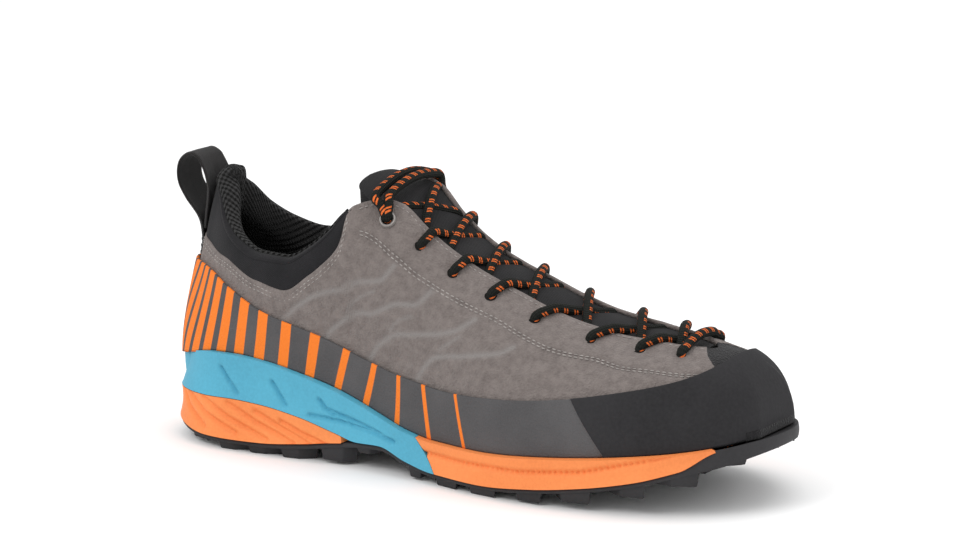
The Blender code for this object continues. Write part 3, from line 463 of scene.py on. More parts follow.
def sheet(name, rings, round_shoe=False, marks=None, second=None):
    """Closed mesh through rings of points, with a UV map in metres and marks to read.

    marks maps a name to a number for each point. second is the first and last place in
    a ring of the faces that take the piece's second material.
    """
    rings = np.asarray(rings)
    count, size = rings.shape[:2]
    number = np.arange(count * size).reshape(count, size)
    rows = number if round_shoe else number[:-1]
    after = np.roll(number, -1, axis=0)[:len(rows)]
    faces = np.stack([rows, after, np.roll(after, -1, axis=1), np.roll(rows, -1, axis=1)], axis=-1)
    steps = np.linalg.norm(np.diff(rings, axis=0, append=rings[:1]), axis=2).mean(axis=1)
    along = np.concatenate([[0.0], np.cumsum(steps)])
    rises = np.linalg.norm(np.diff(rings, axis=1, append=rings[:, :1]), axis=2)
    around = np.concatenate([np.zeros((count, 1)), np.cumsum(rises, axis=1)], axis=1)
    next_around = np.roll(around, -1, axis=0)
    u0, u1 = (np.broadcast_to(part[:, None], (count, size)) for part in (along[:-1], along[1:]))
    uv = np.stack([u0, around[:, :-1], u1, next_around[:, :-1], u1, next_around[:, 1:], u0,
                   around[:, 1:]], axis=-1)[:len(rows)].reshape(-1, 2)
    points = rings.reshape(-1, 3)
    quads = faces.reshape(-1, 4)
    a, b, c, d = (points[quads[:, i]] for i in range(4))
    volume = np.einsum("ij,ij->i", a, np.cross(b, c)).sum() + np.einsum("ij,ij->i", a, np.cross(c, d)).sum()
    polygons = quads.tolist()
    if not round_shoe:
        polygons += [list(range(size))[::-1], list(number[-1])]
        uv = np.concatenate([uv, np.zeros((2 * size, 2))])
    mesh = bpy.data.meshes.new(name)
    mesh.from_pydata(points.tolist(), [], polygons)
    layer = mesh.uv_layers.new(name="cloth")
    layer.data.foreach_set("uv", uv.ravel())
    for mark, values in (marks or {}).items():
        mesh.attributes.new(mark, "FLOAT", "POINT").data.foreach_set("value", np.ravel(values))
    if second:
        kinds = np.zeros(len(polygons), int)
        column_of = np.tile(np.arange(size), len(rows))
        kinds[:len(column_of)] = (column_of >= second[0]) & (column_of < second[1])
        mesh.polygons.foreach_set("material_index", kinds)
    if volume < 0:
        mesh.flip_normals()
    mesh.shade_smooth()
    return linked(name, mesh)


def wall(turns, shares, outer, inner, rim=4):
    """Rings of a layer: up its outer face, over a round rim and down its inner face."""
    n_out = faces_at(turns[:, None], shares, outer)
    top, n = skin_at(turns, shares[:, -1]), normals_at(turns, shares[:, -1])
    up = skin_at(turns, shares[:, -1]) - skin_at(turns, shares[:, -1] - 0.01)
    up = unit(up)
    out_edge = np.broadcast_to(outer, shares.shape)[:, -1]
    in_edge = np.broadcast_to(inner, len(turns))
    centre, radius = (out_edge + in_edge) / 2, (out_edge - in_edge) / 2
    edge = []
    for k in range(1, rim):
        angle = math.pi * k / rim
        edge.append(top + n * (centre + radius * math.cos(angle))[:, None]
                    + up * (radius * math.sin(angle))[:, None])
    back = shares[:, ::-max(1, shares.shape[1] // 16)]
    n_in = faces_at(turns[:, None], back, np.broadcast_to(in_edge[:, None], back.shape))
    return np.concatenate([n_out, np.stack(edge, axis=1), n_in], axis=1)


print(len(FINE), "sections in the skin's table")

# %% [markdown]
# Each finish is a Principled shader with a little noise: large and faint for the uneven
# colour, small and bumpy for the grain. Everything reads Object coordinates, so a pattern
# keeps its real size, or an attribute that the mesh carries where it follows the shape.

# %% Materials
def put(tree, kind, inputs=None, **settings):
    node = tree.nodes.new(kind)
    for key, value in settings.items():
        setattr(node, key, value)
    for key, value in (inputs or {}).items():
        if isinstance(value, bpy.types.NodeSocket):
            tree.links.new(value, node.inputs[key])
        else:
            node.inputs[key].default_value = value
    return node


def colour_mix(tree, factor, first, second):
    node = put(tree, "ShaderNodeMix", data_type="RGBA")
    for socket, value in ((node.inputs[0], factor), (node.inputs[6], first), (node.inputs[7], second)):
        if isinstance(value, bpy.types.NodeSocket):
            tree.links.new(value, socket)
        else:
            socket.default_value = value if isinstance(value, float) else (*value, 1.0)
    return node.outputs[2]


def noise(tree, scale, detail):
    where = put(tree, "ShaderNodeTexCoord").outputs["Object"]
    return put(tree, "ShaderNodeTexNoise", {"Vector": where, "Scale": scale, "Detail": detail}).outputs["Fac"]


def remap(tree, value, low, high, to_low=0.0, to_high=1.0):
    node = put(tree, "ShaderNodeMapRange", {"Value": value, "From Min": low, "From Max": high,
                                            "To Min": to_low, "To Max": to_high})
    return node.outputs["Result"]


def maths(tree, kind, *values):
    return put(tree, "ShaderNodeMath", dict(enumerate(values)), operation=kind).outputs[0]


def mark(tree, name):
    return put(tree, "ShaderNodeAttribute", attribute_name=name).outputs["Fac"]


def bump(tree, height, strength, distance, under=None):
    inputs = {"Height": height, "Strength": strength, "Distance": distance}
    if under:
        inputs["Normal"] = under
    return put(tree, "ShaderNodeBump", inputs).outputs["Normal"]


def finish(name, dark, light, roughness, mottle=60.0, grain=1500.0, depth=0.5, fine=0.00025,
           sheen=0.0, coat=0.0, overlay=None, metallic=0.0, specular=0.4):
    """A grainy material; overlay is an attribute's name and the colour it brings in."""
    paint = bpy.data.materials.new(name)
    paint.use_nodes = True
    tree, shader = paint.node_tree, paint.node_tree.nodes["Principled BSDF"]
    colour = colour_mix(tree, remap(tree, noise(tree, mottle, 5.0), 0.35, 0.65), dark, light)
    grains = noise(tree, grain, 2.0)
    colour = colour_mix(tree, remap(tree, grains, 0.3, 0.7, 0.0, 0.25), colour,
                        tuple(min(1.0, c * 1.35 + 0.004) for c in light))
    if overlay:
        colour = colour_mix(tree, mark(tree, overlay[0]), colour, overlay[1])
    tree.links.new(colour, shader.inputs["Base Color"])
    shader.inputs["Roughness"].default_value = roughness
    shader.inputs["Metallic"].default_value = metallic
    shader.inputs["Specular IOR Level"].default_value = specular
    shader.inputs["Sheen Weight"].default_value = sheen
    shader.inputs["Sheen Roughness"].default_value = 0.6
    shader.inputs["Coat Weight"].default_value = coat
    shader.inputs["Coat Roughness"].default_value = 0.35
    tree.links.new(bump(tree, grains, depth, fine), shader.inputs["Normal"])
    return paint


def woven(name, dark, light, roughness, across, along, depth=0.6, fine=0.0004, sheen=0.15):
    """Cloth read from the piece's own UV map, in metres: threads cross at the given pitch, with painted shade
    in the dips between them.
    """
    paint = finish(name, dark, light, roughness, sheen=sheen, specular=0.12)
    tree, shader = paint.node_tree, paint.node_tree.nodes["Principled BSDF"]
    place = put(tree, "ShaderNodeUVMap", uv_map="cloth").outputs["UV"]
    parts = put(tree, "ShaderNodeSeparateXYZ", {"Vector": place})
    waves = []
    for socket, pitch in ((parts.outputs["X"], across), (parts.outputs["Y"], along)):
        waves.append(maths(tree, "SINE", maths(tree, "MULTIPLY", socket, 2 * math.pi / pitch)))
    cross = maths(tree, "MULTIPLY", *waves)
    old = shader.inputs["Normal"].links[0].from_socket
    tree.links.new(bump(tree, cross, depth, fine, old), shader.inputs["Normal"])
    # Painted shade: the colour darkens in the dips between the threads, where the bump sinks.
    painted_hollow_shade = remap(tree, cross, -1.0, 1.0, 0.45, 0.0)
    base = shader.inputs["Base Color"].links[0].from_socket
    tree.links.new(colour_mix(tree, painted_hollow_shade, base, tuple(c * 0.35 for c in dark)), shader.inputs["Base Color"])
    return paint


PAINT = {
    # Lighter colour along the pressed lines and cuts is a painted highlight on their edges.
    "suede": finish("suede", (0.130, 0.110, 0.103), (0.176, 0.151, 0.141), 0.95, 300.0, 1100.0, 1.0,
                    0.0008, sheen=0.10, overlay=("pressed_and_highlight", (0.212, 0.195, 0.187)), specular=0.10),
    "softshell": woven("softshell", (0.009, 0.009, 0.010), (0.016, 0.015, 0.017), 0.85, 0.0009, 0.0009,
                       0.25, sheen=0.05),
    "tongue": woven("tongue", (0.008, 0.008, 0.009), (0.016, 0.015, 0.016), 0.85, 0.0010, 0.0010, 0.3,
                    sheen=0.05),
    "knit": woven("knit", (0.006, 0.006, 0.006), (0.015, 0.014, 0.014), 0.9, 0.0032, 0.0028, 1.0, 0.0012,
                  sheen=0.08),
    "lining": woven("lining", (0.006, 0.006, 0.007), (0.014, 0.014, 0.015), 0.9, 0.0024, 0.0024, 0.8,
                    sheen=0.05),
    "webbing": woven("webbing", (0.010, 0.009, 0.009), (0.018, 0.016, 0.016), 0.7, 0.0016, 0.0008, 0.6,
                     sheen=0.08),
    "footbed": finish("footbed", (0.010, 0.010, 0.011), (0.020, 0.020, 0.022), 0.9, 80.0, 900.0, 0.8,
                      0.0004, specular=0.15),
    "rand": finish("rand", (0.062, 0.060, 0.062), (0.082, 0.079, 0.081), 0.75, 40.0, 1500.0, 1.0,
                   0.0004, specular=0.22),
    "cap": finish("cap", (0.0215, 0.0208, 0.0222), (0.0290, 0.0282, 0.0300), 0.75, 28.0, 700.0, 0.4,
                  0.0003, specular=0.08),
    "blue": finish("blue_foam", (0.066, 0.300, 0.425), (0.078, 0.345, 0.480), 0.6, 25.0, 900.0, 0.3,
                   0.0001, specular=0.25),
    "orange": finish("orange_foam", (0.745, 0.210, 0.058), (0.800, 0.245, 0.072), 0.6, 25.0, 900.0,
                     0.3, 0.0001, specular=0.25),
    "tread": finish("tread", (0.018, 0.0175, 0.0185), (0.029, 0.028, 0.030), 0.65, 35.0, 800.0, 0.4,
                    specular=0.28),
    "thread": finish("thread", (0.215, 0.195, 0.185), (0.320, 0.295, 0.280), 0.85, 300.0, 2500.0, 0.3,
                     specular=0.15),
    "dark_thread": finish("dark_thread", (0.014, 0.013, 0.013), (0.030, 0.028, 0.028), 0.8, 300.0, 2500.0,
                          0.3, specular=0.15),
    "ring": finish("ring", (0.21, 0.195, 0.185), (0.30, 0.28, 0.265), 0.5, 200.0, 900.0, 0.15,
                   0.00005, metallic=0.6),
    # Near-black of the punched holes: the dark lining seen through them and painted shade inside them.
    "hole_lining_and_shade": finish("hole_lining_and_shade", (0.008, 0.007, 0.007), (0.012, 0.011, 0.010), 0.95, 200.0, 900.0, 0.2,
                   specular=0.1),
}
print(len(PAINT), "finishes")

# %% [markdown]
# The lace is a round braid, near black, with flecks of orange. The flecks are pairs of
# slanted dashes in two rows round it, which the material works out from the cord's own UV map: u
# runs along it in metres and v round it from 0 to 1.

# %% Lace material
FLECK_PITCH = 0.0052
FLECK_ROWS = 2.0
BRAID_PITCH = 0.0021


def make_lace_paint():
    paint = bpy.data.materials.new("lace_braid")
    paint.use_nodes = True
    tree, shader = paint.node_tree, paint.node_tree.nodes["Principled BSDF"]
    place = put(tree, "ShaderNodeUVMap", uv_map="cloth").outputs["UV"]
    parts = put(tree, "ShaderNodeSeparateXYZ", {"Vector": place})

    def calc(kind, a, b=0.0, c=0.0):
        return maths(tree, kind, a, b, c)

    round_it = calc("MULTIPLY", parts.outputs["Y"], FLECK_ROWS)
    lane = calc("FLOOR", round_it)
    across = calc("SUBTRACT", round_it, lane)
    along = calc("DIVIDE", parts.outputs["X"], FLECK_PITCH)
    slanted = calc("ADD", calc("MULTIPLY_ADD", across, 0.55, along), calc("MULTIPLY", lane, 0.5))
    phase = calc("FRACT", slanted)
    two = calc("FRACT", calc("MULTIPLY", phase, 4.0))
    pair = calc("LESS_THAN", phase, 0.5)
    dash = calc("MULTIPLY", calc("LESS_THAN", two, 0.55), pair)
    middle = calc("MULTIPLY", calc("GREATER_THAN", across, 0.22), calc("LESS_THAN", across, 0.66))
    fleck = calc("MULTIPLY", dash, middle)
    colour = colour_mix(tree, fleck, (0.010, 0.011, 0.009), (0.72, 0.150, 0.032))
    tree.links.new(colour, shader.inputs["Base Color"])
    shader.inputs["Roughness"].default_value = 0.8
    shader.inputs["Specular IOR Level"].default_value = 0.15
    turned = calc("MULTIPLY", parts.outputs["Y"], 2 * math.pi * 6)
    run = calc("MULTIPLY", parts.outputs["X"], 2 * math.pi / BRAID_PITCH)
    waves = [calc("SINE", calc(kind, run, turned)) for kind in ("ADD", "SUBTRACT")]
    weave = calc("MULTIPLY", *waves)
    tree.links.new(bump(tree, weave, 0.8, 0.0004), shader.inputs["Normal"])
    return paint


PAINT["lace"] = make_lace_paint()
print("lace with a fleck every", FLECK_PITCH * 1000, "mm")


def dress(thing, paint, slot, *nodes):
    """Gives a finished piece its paint and its place in the frame."""
    thing.data.materials.clear()
    thing.data.materials.append(PAINT[paint])
    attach(thing, "root")
    if nodes:
        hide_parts(*nodes)
    return thing


def cover(paint, factor, colour):
    """Lays a second colour over a finish where factor is 1."""
    tree, shader = paint.node_tree, paint.node_tree.nodes["Principled BSDF"]
    base = shader.inputs["Base Color"].links[0].from_socket
    tree.links.new(colour_mix(tree, factor, base, colour), shader.inputs["Base Color"])


BAR_COUNT = 17.0
suede_tree = PAINT["suede"].node_tree
at_toe = remap(suede_tree, mark(suede_tree, "inset"), -0.02, 0.02)
cover(PAINT["suede"], at_toe, (0.015, 0.0145, 0.0155))
rand_tree = PAINT["rand"].node_tree
bars = mark(rand_tree, "bars")
left_over = maths(rand_tree, "SUBTRACT", mark(rand_tree, "wide"), maths(rand_tree, "FRACT", bars))
counted = maths(rand_tree, "LESS_THAN", bars, BAR_COUNT)
on_bar = maths(rand_tree, "MULTIPLY", remap(rand_tree, left_over, 0.0, 0.02), counted)
cover(PAINT["rand"], on_bar, (0.78, 0.185, 0.020))
print("bars on the rand, cloth in front of the throat")

# %% [markdown]
# Lines on the upper are drawn as rows and shares on the outer side and mirrored to the
# inner side: pressed lines and short cuts, and the seam of the eyestay. The suede sinks
# softly along them, and round each eyelet.

# %% Lines on the suede
PRESSED = (
    ((5.95, 0.583), (6.45, 0.658), (7.05, 0.675), (9.15, 0.575), (12.0, 0.55), (12.65, 0.592),
     (12.95, 0.633)),
    ((7.4, 0.383), (7.9, 0.425), (8.75, 0.433), (11.35, 0.417), (13.9, 0.525), (14.2, 0.583),
     (14.4, 0.658)),
    ((10.95, 0.225), (11.85, 0.283), (12.6, 0.317), (14.2, 0.417), (15.1, 0.525), (15.3, 0.575),
     (15.5, 0.642)),
    ((14.15, 0.217), (14.4, 0.292), (14.65, 0.35), (15.45, 0.425), (16.2, 0.517), (16.4, 0.583)),
)
CUTS = (((9.05, 0.475), (11.55, 0.508)), ((12.8, 0.35), (13.9, 0.475)), ((14.75, 0.392), (15.25, 0.508)))
SEAM = ((10.6, 0.80), (13.25, 0.667), (14.4, 0.683), (15.75, 0.70), (16.5, 0.675), (17.2, 0.658),
        (17.8, 0.667), (18.55, 0.608), (19.3, 0.60), (20.45, 0.592))
EYELETS = ((11.8, 0.858), (13.75, 0.817), (14.7, 0.825), (15.65, 0.833), (16.55, 0.833),
           (17.6, 0.817), (18.65, 0.783), (20.15, 0.792))
CREASES = (
    ((16.2, 0.36), (16.7, 0.50), (17.1, 0.62)),
    ((17.0, 0.40), (17.5, 0.52), (17.9, 0.60)),
    ((9.4, 0.34), (9.9, 0.45), (10.0, 0.52)),
    ((13.4, 0.62), (12.6, 0.70), (12.2, 0.78)),
)
INSET_EDGE = ((20.50, 1.0), (20.62, 0.85), (20.90, 0.68), (21.15, 0.50))


def mirror(turn, side):
    return turn if side < 0 else RING_END - turn


def trace(line, side, step=0.0005, offset=0.0):
    """Points close together along a line on the skin, with its normals."""
    rows = np.array([row for row, _ in line])
    shares = np.array([share for _, share in line])
    ways = [skin_at(mirror(a, side), b) for a, b in ((rows[:-1], shares[:-1]), (rows[1:], shares[1:]))]
    lengths = np.linalg.norm(ways[1] - ways[0], axis=1)
    knots = np.concatenate([[0.0], np.cumsum(lengths)])
    fine = np.linspace(0, knots[-1], 60 * len(line))
    rows = np.array([smooth(list(knots), list(rows), k) for k in fine])
    shares = np.array([smooth(list(knots), list(shares), k) for k in fine])
    turns = mirror(rows, side)
    points = faces_at(turns, shares, np.full(len(fine), offset))
    run = run_of(points)
    even = np.linspace(0, run[-1], max(3, int(run[-1] / step)))
    at_turns, at_shares = np.interp(even, run, turns), np.interp(even, run, shares)
    return faces_at(at_turns, at_shares, np.full(len(even), offset)), normals_at(at_turns, at_shares)


def distance(points, lines):
    """Distance from each point to the nearest of the lines' points."""
    spots = np.concatenate(lines)
    tree = KDTree(len(spots))
    for i, spot in enumerate(spots):
        tree.insert(spot, i)
    tree.balance()
    flat = points.reshape(-1, 3)
    return np.array([tree.find(p)[2] for p in flat]).reshape(points.shape[:-1])


def both(lines):
    return [trace(line, side)[0] for line in lines for side in (-1, 1)]


def trough(gap, half):
    return np.exp(-(gap / half) ** 2)


print(len(PRESSED), "pressed lines and", len(EYELETS), "eyelets a side")

# %% [markdown]
# The suede shell runs all the way round, from the sole up to the collar panel and to the
# edge of the throat. Its relief is the pressed lines, the seam, soft troughs at the flex
# and a slow unevenness. Towards the toe the suede ends and dark cloth takes over.

# %% Suede shell
def suede_top(turns):
    """Share where the suede ends: under the collar panel, and at the edge of the throat."""
    rows = np.minimum(turns % RING_END, RING_END - turns % RING_END)
    split = np.array([smooth(ROWS, SEC["panel"], row) for row in rows])
    return np.where(rows < 8.6, split, split + (1.0 - split) * ease(rows, 8.6, 10.1))


def slow_noise(points, size, seed):
    shift = Vector((seed * 7.3, seed * 3.1, seed * 5.7))
    return np.array([perlin.noise(Vector(p) / size + shift) for p in points.reshape(-1, 3)]).reshape(
        points.shape[:-1])


def rows_of(turns):
    at = turns % RING_END
    return np.minimum(at, RING_END - at)


def suede_relief(turns, shares):
    points = skin_at(turns[:, None], shares)
    pressed_and_highlight = trough(distance(points, both(PRESSED)), 0.0012)
    cuts = trough(distance(points, both(CUTS)), 0.0007)
    seam = trough(distance(points, both([SEAM])), 0.0018)
    creases = trough(distance(points, both(CREASES)), 0.0050)
    holes = [faces_at(mirror(np.array([row]), side), np.array([share]), np.zeros(1))
             for row, share in EYELETS for side in (-1, 1)]
    dimple = trough(distance(points, holes), 0.0030)
    relief = -0.0003 * pressed_and_highlight - 0.0002 * cuts - 0.0004 * seam - 0.0007 * creases - 0.0008 * dimple
    relief = relief + 0.0004 * slow_noise(points, 0.022, 1.0) + 0.00025 * slow_noise(points, 0.009, 2.0)
    rows = rows_of(turns)[:, None]
    front = np.interp(shares, [share for _, share in INSET_EDGE][::-1],
                      [row for row, _ in INSET_EDGE][::-1])
    inset = (rows - front) * 1.3
    relief = relief - 0.0007 * ease(inset, -0.06, 0.06)
    fade = ease(shares / shares[:, -1:], 0.0, 0.2)
    # The second result marks the pressed lines and cuts, where the suede gets a painted highlight.
    return relief * fade, np.maximum(pressed_and_highlight, 0.8 * cuts), inset


def make_suede():
    turns = even_turns(0.00145)[:-1]
    top = suede_top(turns)
    shares = np.linspace(0.0, 1.0, 100)[None, :] * top[:, None]
    relief, pressed_and_highlight, inset = suede_relief(turns, shares)
    rings = wall(turns, shares, relief, np.full(len(turns), -WALL))
    size, first = rings.shape[1], shares.shape[1]
    bare = np.zeros((len(turns), size - first))
    # This mark carries the painted highlight along the pressed lines and cuts.
    marks = {"pressed_and_highlight": np.concatenate([pressed_and_highlight, bare], axis=1),
             "inset": np.concatenate([inset, bare + inset[:, -1:]], axis=1)}
    shell = sheet("suede_shell", rings, True, marks, (first + 2, size))
    dress(shell, "suede", "suede", "upper")
    shell.data.materials.append(PAINT["lining"])
    return shell


print("suede shell with", len(make_suede().data.polygons), "faces")

# %% [markdown]
# A soft panel fills in between the suede and the collar. Above it sits the padded collar,
# a closed roll that turns over the edge and runs down inside. The knitted lining is a layer
# of its own over that roll: at the heel it starts outside the ridge, further forward on it.

# %% Collar
PAD = ((0.0, 0.150, 0.076), (1.0, 0.140, 0.065), (2.0, 0.125, 0.052), (3.0, 0.105, 0.040),
       (4.0, 0.085, 0.034), (6.0, 0.060, 0.032), (9.4, 0.045, 0.022))
COLLAR_END, PAD_DEPTH = 9.4, 0.030
KNIT_START = ((0.0, 0.06), (1.0, 0.10), (2.0, 0.16), (3.0, 0.22), (4.0, 0.30), (5.0, 0.40), (9.4, 0.46))


def spline(points, count):
    """Smooth curve through points, given as (place, section, xyz) arrays, evenly in knots."""
    n = points.shape[1]
    before, after = 2 * points[:, :1] - points[:, 1:2], 2 * points[:, -1:] - points[:, -2:-1]
    padded = np.concatenate([before, points, after], axis=1)
    at = np.linspace(0, n - 1 - 1e-9, count)
    k, t = np.floor(at).astype(int), (at - np.floor(at))[None, :, None]
    a, b, c, d = (padded[:, k + i] for i in range(4))
    return 0.5 * (2 * b + (c - a) * t + (2 * a - 5 * b + 4 * c - d) * t ** 2
                  + (3 * b - a - 3 * c + d) * t ** 3)


def table_at(rows, table_rows, column_number):
    return np.array([smooth([r[0] for r in table_rows], [r[column_number] for r in table_rows], row)
                     for row in rows])


def pad_over(turns):
    """Outer curve of the roll, from the edge over the top and down inside."""
    rows = np.abs(turns)
    pad = table_at(rows, PAD, 1)[:, None] * HEEL_WIDTH
    rise = table_at(rows, PAD, 2)[:, None] * HEEL_WIDTH
    edge = faces_at(turns, np.ones(len(turns)), np.full(len(turns), -SUEDE_STEP)) + [0, 0, GAP]
    back = unit(normals_at(turns, np.ones(len(turns))) * [1, 1, 0])
    up = np.array([0, 0, 1.0])
    over = [edge - back * pad * share + up * rise * high for share, high in
            ((0.0, 0.0), (0.06, 0.52), (0.36, 0.95), (0.68, 1.0), (0.92, 0.62))]
    depth = PAD_DEPTH / np.linalg.norm(skin_at(turns, 1.0) - skin_at(turns, 0.0), axis=1)
    for share, thick in ((0.25, 0.82), (0.6, 0.45), (1.0, 0.22)):
        over.append(faces_at(turns, 1 - depth * share, -(WALL + GAP) - pad[:, 0] * thick))
    return np.stack(over, axis=1), depth


def make_collar():
    turns = even_turns(0.0014, -COLLAR_END, COLLAR_END)
    over, depth = pad_over(turns)
    lining = [faces_at(turns, 1 - depth * share, np.full(len(turns), -(WALL + GAP)))
              for share in (1.0, 0.66, 0.33, 0.0)]
    rings = np.concatenate([spline(over, 48), np.stack(lining, axis=1)], axis=1)
    pad = sheet("collar_pad", rings)
    dress(pad, "softshell", "softshell", "collar")
    return pad, turns, over


def make_knit(turns, over):
    """Knitted layer over the roll, a little thicker than what lies under it."""
    fine = spline(over, 90)
    starts = table_at(np.abs(turns), KNIT_START, 1)
    bands = np.linspace(0.0, 1.0, 64)[None, :]
    at = (starts[:, None] + (1.0 - starts[:, None]) * bands) * 89
    low = np.minimum(np.floor(at).astype(int), 88)
    part = (at - low)[..., None]
    index = np.arange(len(turns))[:, None]
    line = fine[index, low] * (1 - part) + fine[index, low + 1] * part
    n = unit(np.cross(np.gradient(line, axis=0), np.gradient(line, axis=1)))
    fade = ease(COLLAR_END - np.abs(turns), 0.0, 1.2)[:, None]
    thick = (0.0009 * np.sqrt(np.clip(bands * 14, 0, 1)) * fade + 0.0001)[..., None]
    outer, inner = line + n * thick, line[:, ::-6] - n[:, ::-6] * 0.0006
    knit = sheet("collar_knit", np.concatenate([outer, inner], axis=1))
    dress(knit, "knit", "softshell")
    return knit


def make_panel():
    turns = even_turns(0.0016, -10.0, 10.0)
    low = suede_top(turns) - 0.02
    shares = low[:, None] + (1.0 - low)[:, None] * np.linspace(0.0, 1.0, 16)[None, :]
    puff = np.sin(math.pi * np.clip(np.linspace(0.0, 1.0, 16)[None, :], 0, 1)) * 0.0005
    outer = -SUEDE_STEP + puff + 0.0 * shares
    panel = sheet("collar_panel", wall(turns, shares, outer, np.full(len(turns), -WALL + 0.0001)))
    return dress(panel, "softshell", "softshell")


pad, pad_turns, pad_over_line = make_collar()
make_knit(pad_turns, pad_over_line)
make_panel()
print("collar pad, knitted lining and panel")

# %% [markdown]
# The rand is one band of rubber round the heel and both sides, and the toe cap another over
# the front, cut from the same skin and leaning where they meet. The rand carries a row of
# plain bars: the material draws them from two numbers that the mesh holds, how many bars
# there have been so far and how wide a bar is there.

# %% Rand and toe cap
RAND_THICK, CAP_THICK, CAP_SEAM = 0.0013, 0.0018, 0.006
JOINT_RIM, JOINT_TOP = 18.55, 17.80
BAR_PITCH, BAR_GROWTH, BAR_LEAN = 0.0052, 0.090, 0.42


def soften(points, passes):
    """Evens out the middle columns of a band, and leaves its ends as they are."""
    places = np.arange(len(points))
    hold = np.clip(np.minimum(places, places[::-1]) / 20.0, 0, 1)[:, None, None]
    for _ in range(passes):
        even = points.copy()
        even[1:-1] = (points[:-2] + 2 * points[1:-1] + points[2:]) / 4
        points = points + (even - points) * hold
    return points


def slanted(name, rim_turns, top_turns, thick, rows, marks=None, soft=0):
    """Band of rubber between the sole's rim and the rand's top edge."""
    bands = np.linspace(0.0, 1.0, rows)[None, :]
    low, high = rims_at(rim_turns)[:, None], tops_at(top_turns)[:, None]
    turns = rim_turns[:, None] + (top_turns - rim_turns)[:, None] * bands
    shares = low + (high - low) * bands
    outer = faces_at(turns, shares, np.full(turns.shape, GAP + thick))
    if soft:
        outer = soften(outer, soft)
    inner = faces_at(turns[:, ::-4], shares[:, ::-4], np.full(turns[:, ::-4].shape, 0.0))
    up = unit(outer[:, -1] - outer[:, -2]) * thick
    edge = outer[:, -1] * 0.5 + inner[:, 0] * 0.5 + up * 0.35
    shoulder = outer[:, -1] * 0.86 + inner[:, 0] * 0.14 + up * 0.25
    rings = np.concatenate([outer, shoulder[:, None], edge[:, None], inner], axis=1)
    count = rings.shape[1] - rows
    kept = {key: np.concatenate([value, np.repeat(value[:, -1:], count, axis=1)], axis=1)
            for key, value in (marks(turns, shares) if marks else {}).items()}
    return sheet(name, rings, marks=kept)


def bar_marks(turns, shares):
    points = skin_at(turns, shares)
    foot = skin_at(turns[:, :1], shares[:, :1])
    line = skin_at(turns[:, 0], np.full(len(turns), 0.3))
    run = run_of(line)
    away = np.abs(run - np.interp(0.0, turns[:, 0], run))[:, None]
    height = points[..., 2] - foot[..., 2]
    place = away - height * BAR_LEAN + 0.004
    place = np.maximum(place, 0.0)
    count = np.log1p(place / BAR_PITCH * BAR_GROWTH) / BAR_GROWTH
    wide = np.interp(place, [0.0, 0.035, 0.075, 0.120, 0.190], [0.70, 0.68, 0.46, 0.22, 0.09])
    return {"bars": count, "wide": wide}


def make_rand():
    share = np.linspace(-1.0, 1.0, 460)
    rim_turns = np.interp(share, [-1, 0, 1], [-(JOINT_RIM - CAP_SEAM), 0, JOINT_RIM - CAP_SEAM])
    top_turns = rim_turns * (JOINT_TOP - CAP_SEAM) / (JOINT_RIM - CAP_SEAM)
    rand = slanted("rubber_rand", rim_turns, top_turns, RAND_THICK, 26, bar_marks)
    return dress(rand, "rand", "rand_rubber", "side_rand")


def make_cap():
    rim_turns = np.linspace(JOINT_RIM, RING_END - JOINT_RIM, 200)
    top_turns = np.linspace(JOINT_TOP, RING_END - JOINT_TOP, 200)
    cap = slanted("rubber_cap", rim_turns, top_turns, CAP_THICK, 40, soft=220)
    return dress(cap, "cap", "cap_rubber", "toe_cap")


make_rand()
make_cap()
print("rand and toe cap")

# %% [markdown]
# The foams are lofted across the sole, one section for each station and side: underside,
# hollow side, raised rim, cup and seat. Grooves on the side are pushed in along lines given
# by length and height, the same on both sides of the shoe.

# %% Foams
SIDE_HOLLOW, FOAM_SEAM, BLUE_SLANT = 0.0030, 0.0011, 0.036
WEDGE_END, BLUE_END, FORE_TIP = 0.342, 0.479, 0.943
SLANT_FROM, SLANT_TO, SPINE_FROM, SPINE_TO, MIDWAY = 0.40, 0.60, 0.07, 0.93, 0.45
BLUE_GROOVES = (
    ((-0.021, 0.0355), (-0.017, 0.031), (-0.0113, 0.0255)),
    ((0.0060, 0.0325), (0.0100, 0.0275), (0.0134, 0.0235)),
    ((0.0300, 0.0275), (0.0330, 0.0240), (0.0376, 0.0215)),
    ((0.0255, 0.0205), (0.0400, 0.0195), (0.0560, 0.0175), (0.0690, 0.0150)),
    ((0.0330, 0.0238), (0.0480, 0.0205), (0.0620, 0.0170)),
)
WEDGE_GROOVES = (
    ((-0.046, 0.0225), (-0.041, 0.015), (-0.030, 0.0085)),
    ((-0.040, 0.0220), (-0.030, 0.0145), (-0.012, 0.0080)),
    ((-0.030, 0.0215), (-0.017, 0.0145), (0.004, 0.0070)),
    ((-0.016, 0.0210), (-0.002, 0.0140), (0.018, 0.0070)),
    ((-0.002, 0.0190), (0.010, 0.0135), (0.027, 0.0072)),
    ((0.011, 0.0160), (0.021, 0.0120), (0.035, 0.0080)),
)
FORE_BAND = ((0.078, 0.0135), (0.105, 0.0128), (0.135, 0.0132), (0.165, 0.0165), (0.195, 0.0245),
             (0.207, 0.0290))


def turn_at(station, side):
    row = float(np.interp(station, STATION_OF_ROW[:, 1], STATION_OF_ROW[:, 0]))
    return row if side < 0 else RING_END - row


STATION_OF_ROW = np.array([(row, station_of(row)) for row in np.linspace(0, LAST_ROW, 400)])


def lay(station, side, share, name, lift=0.0, inset=0.0):
    middle = (SPINE_FROM + (SPINE_TO - SPINE_FROM) * station) * LENGTH - HEEL_CENTRE
    edge = outline(station, side, inset)
    x = middle + (edge[0] - middle) * share
    return np.array([x, edge[1] * share, level(name, (x + HEEL_CENTRE) / LENGTH) + lift])


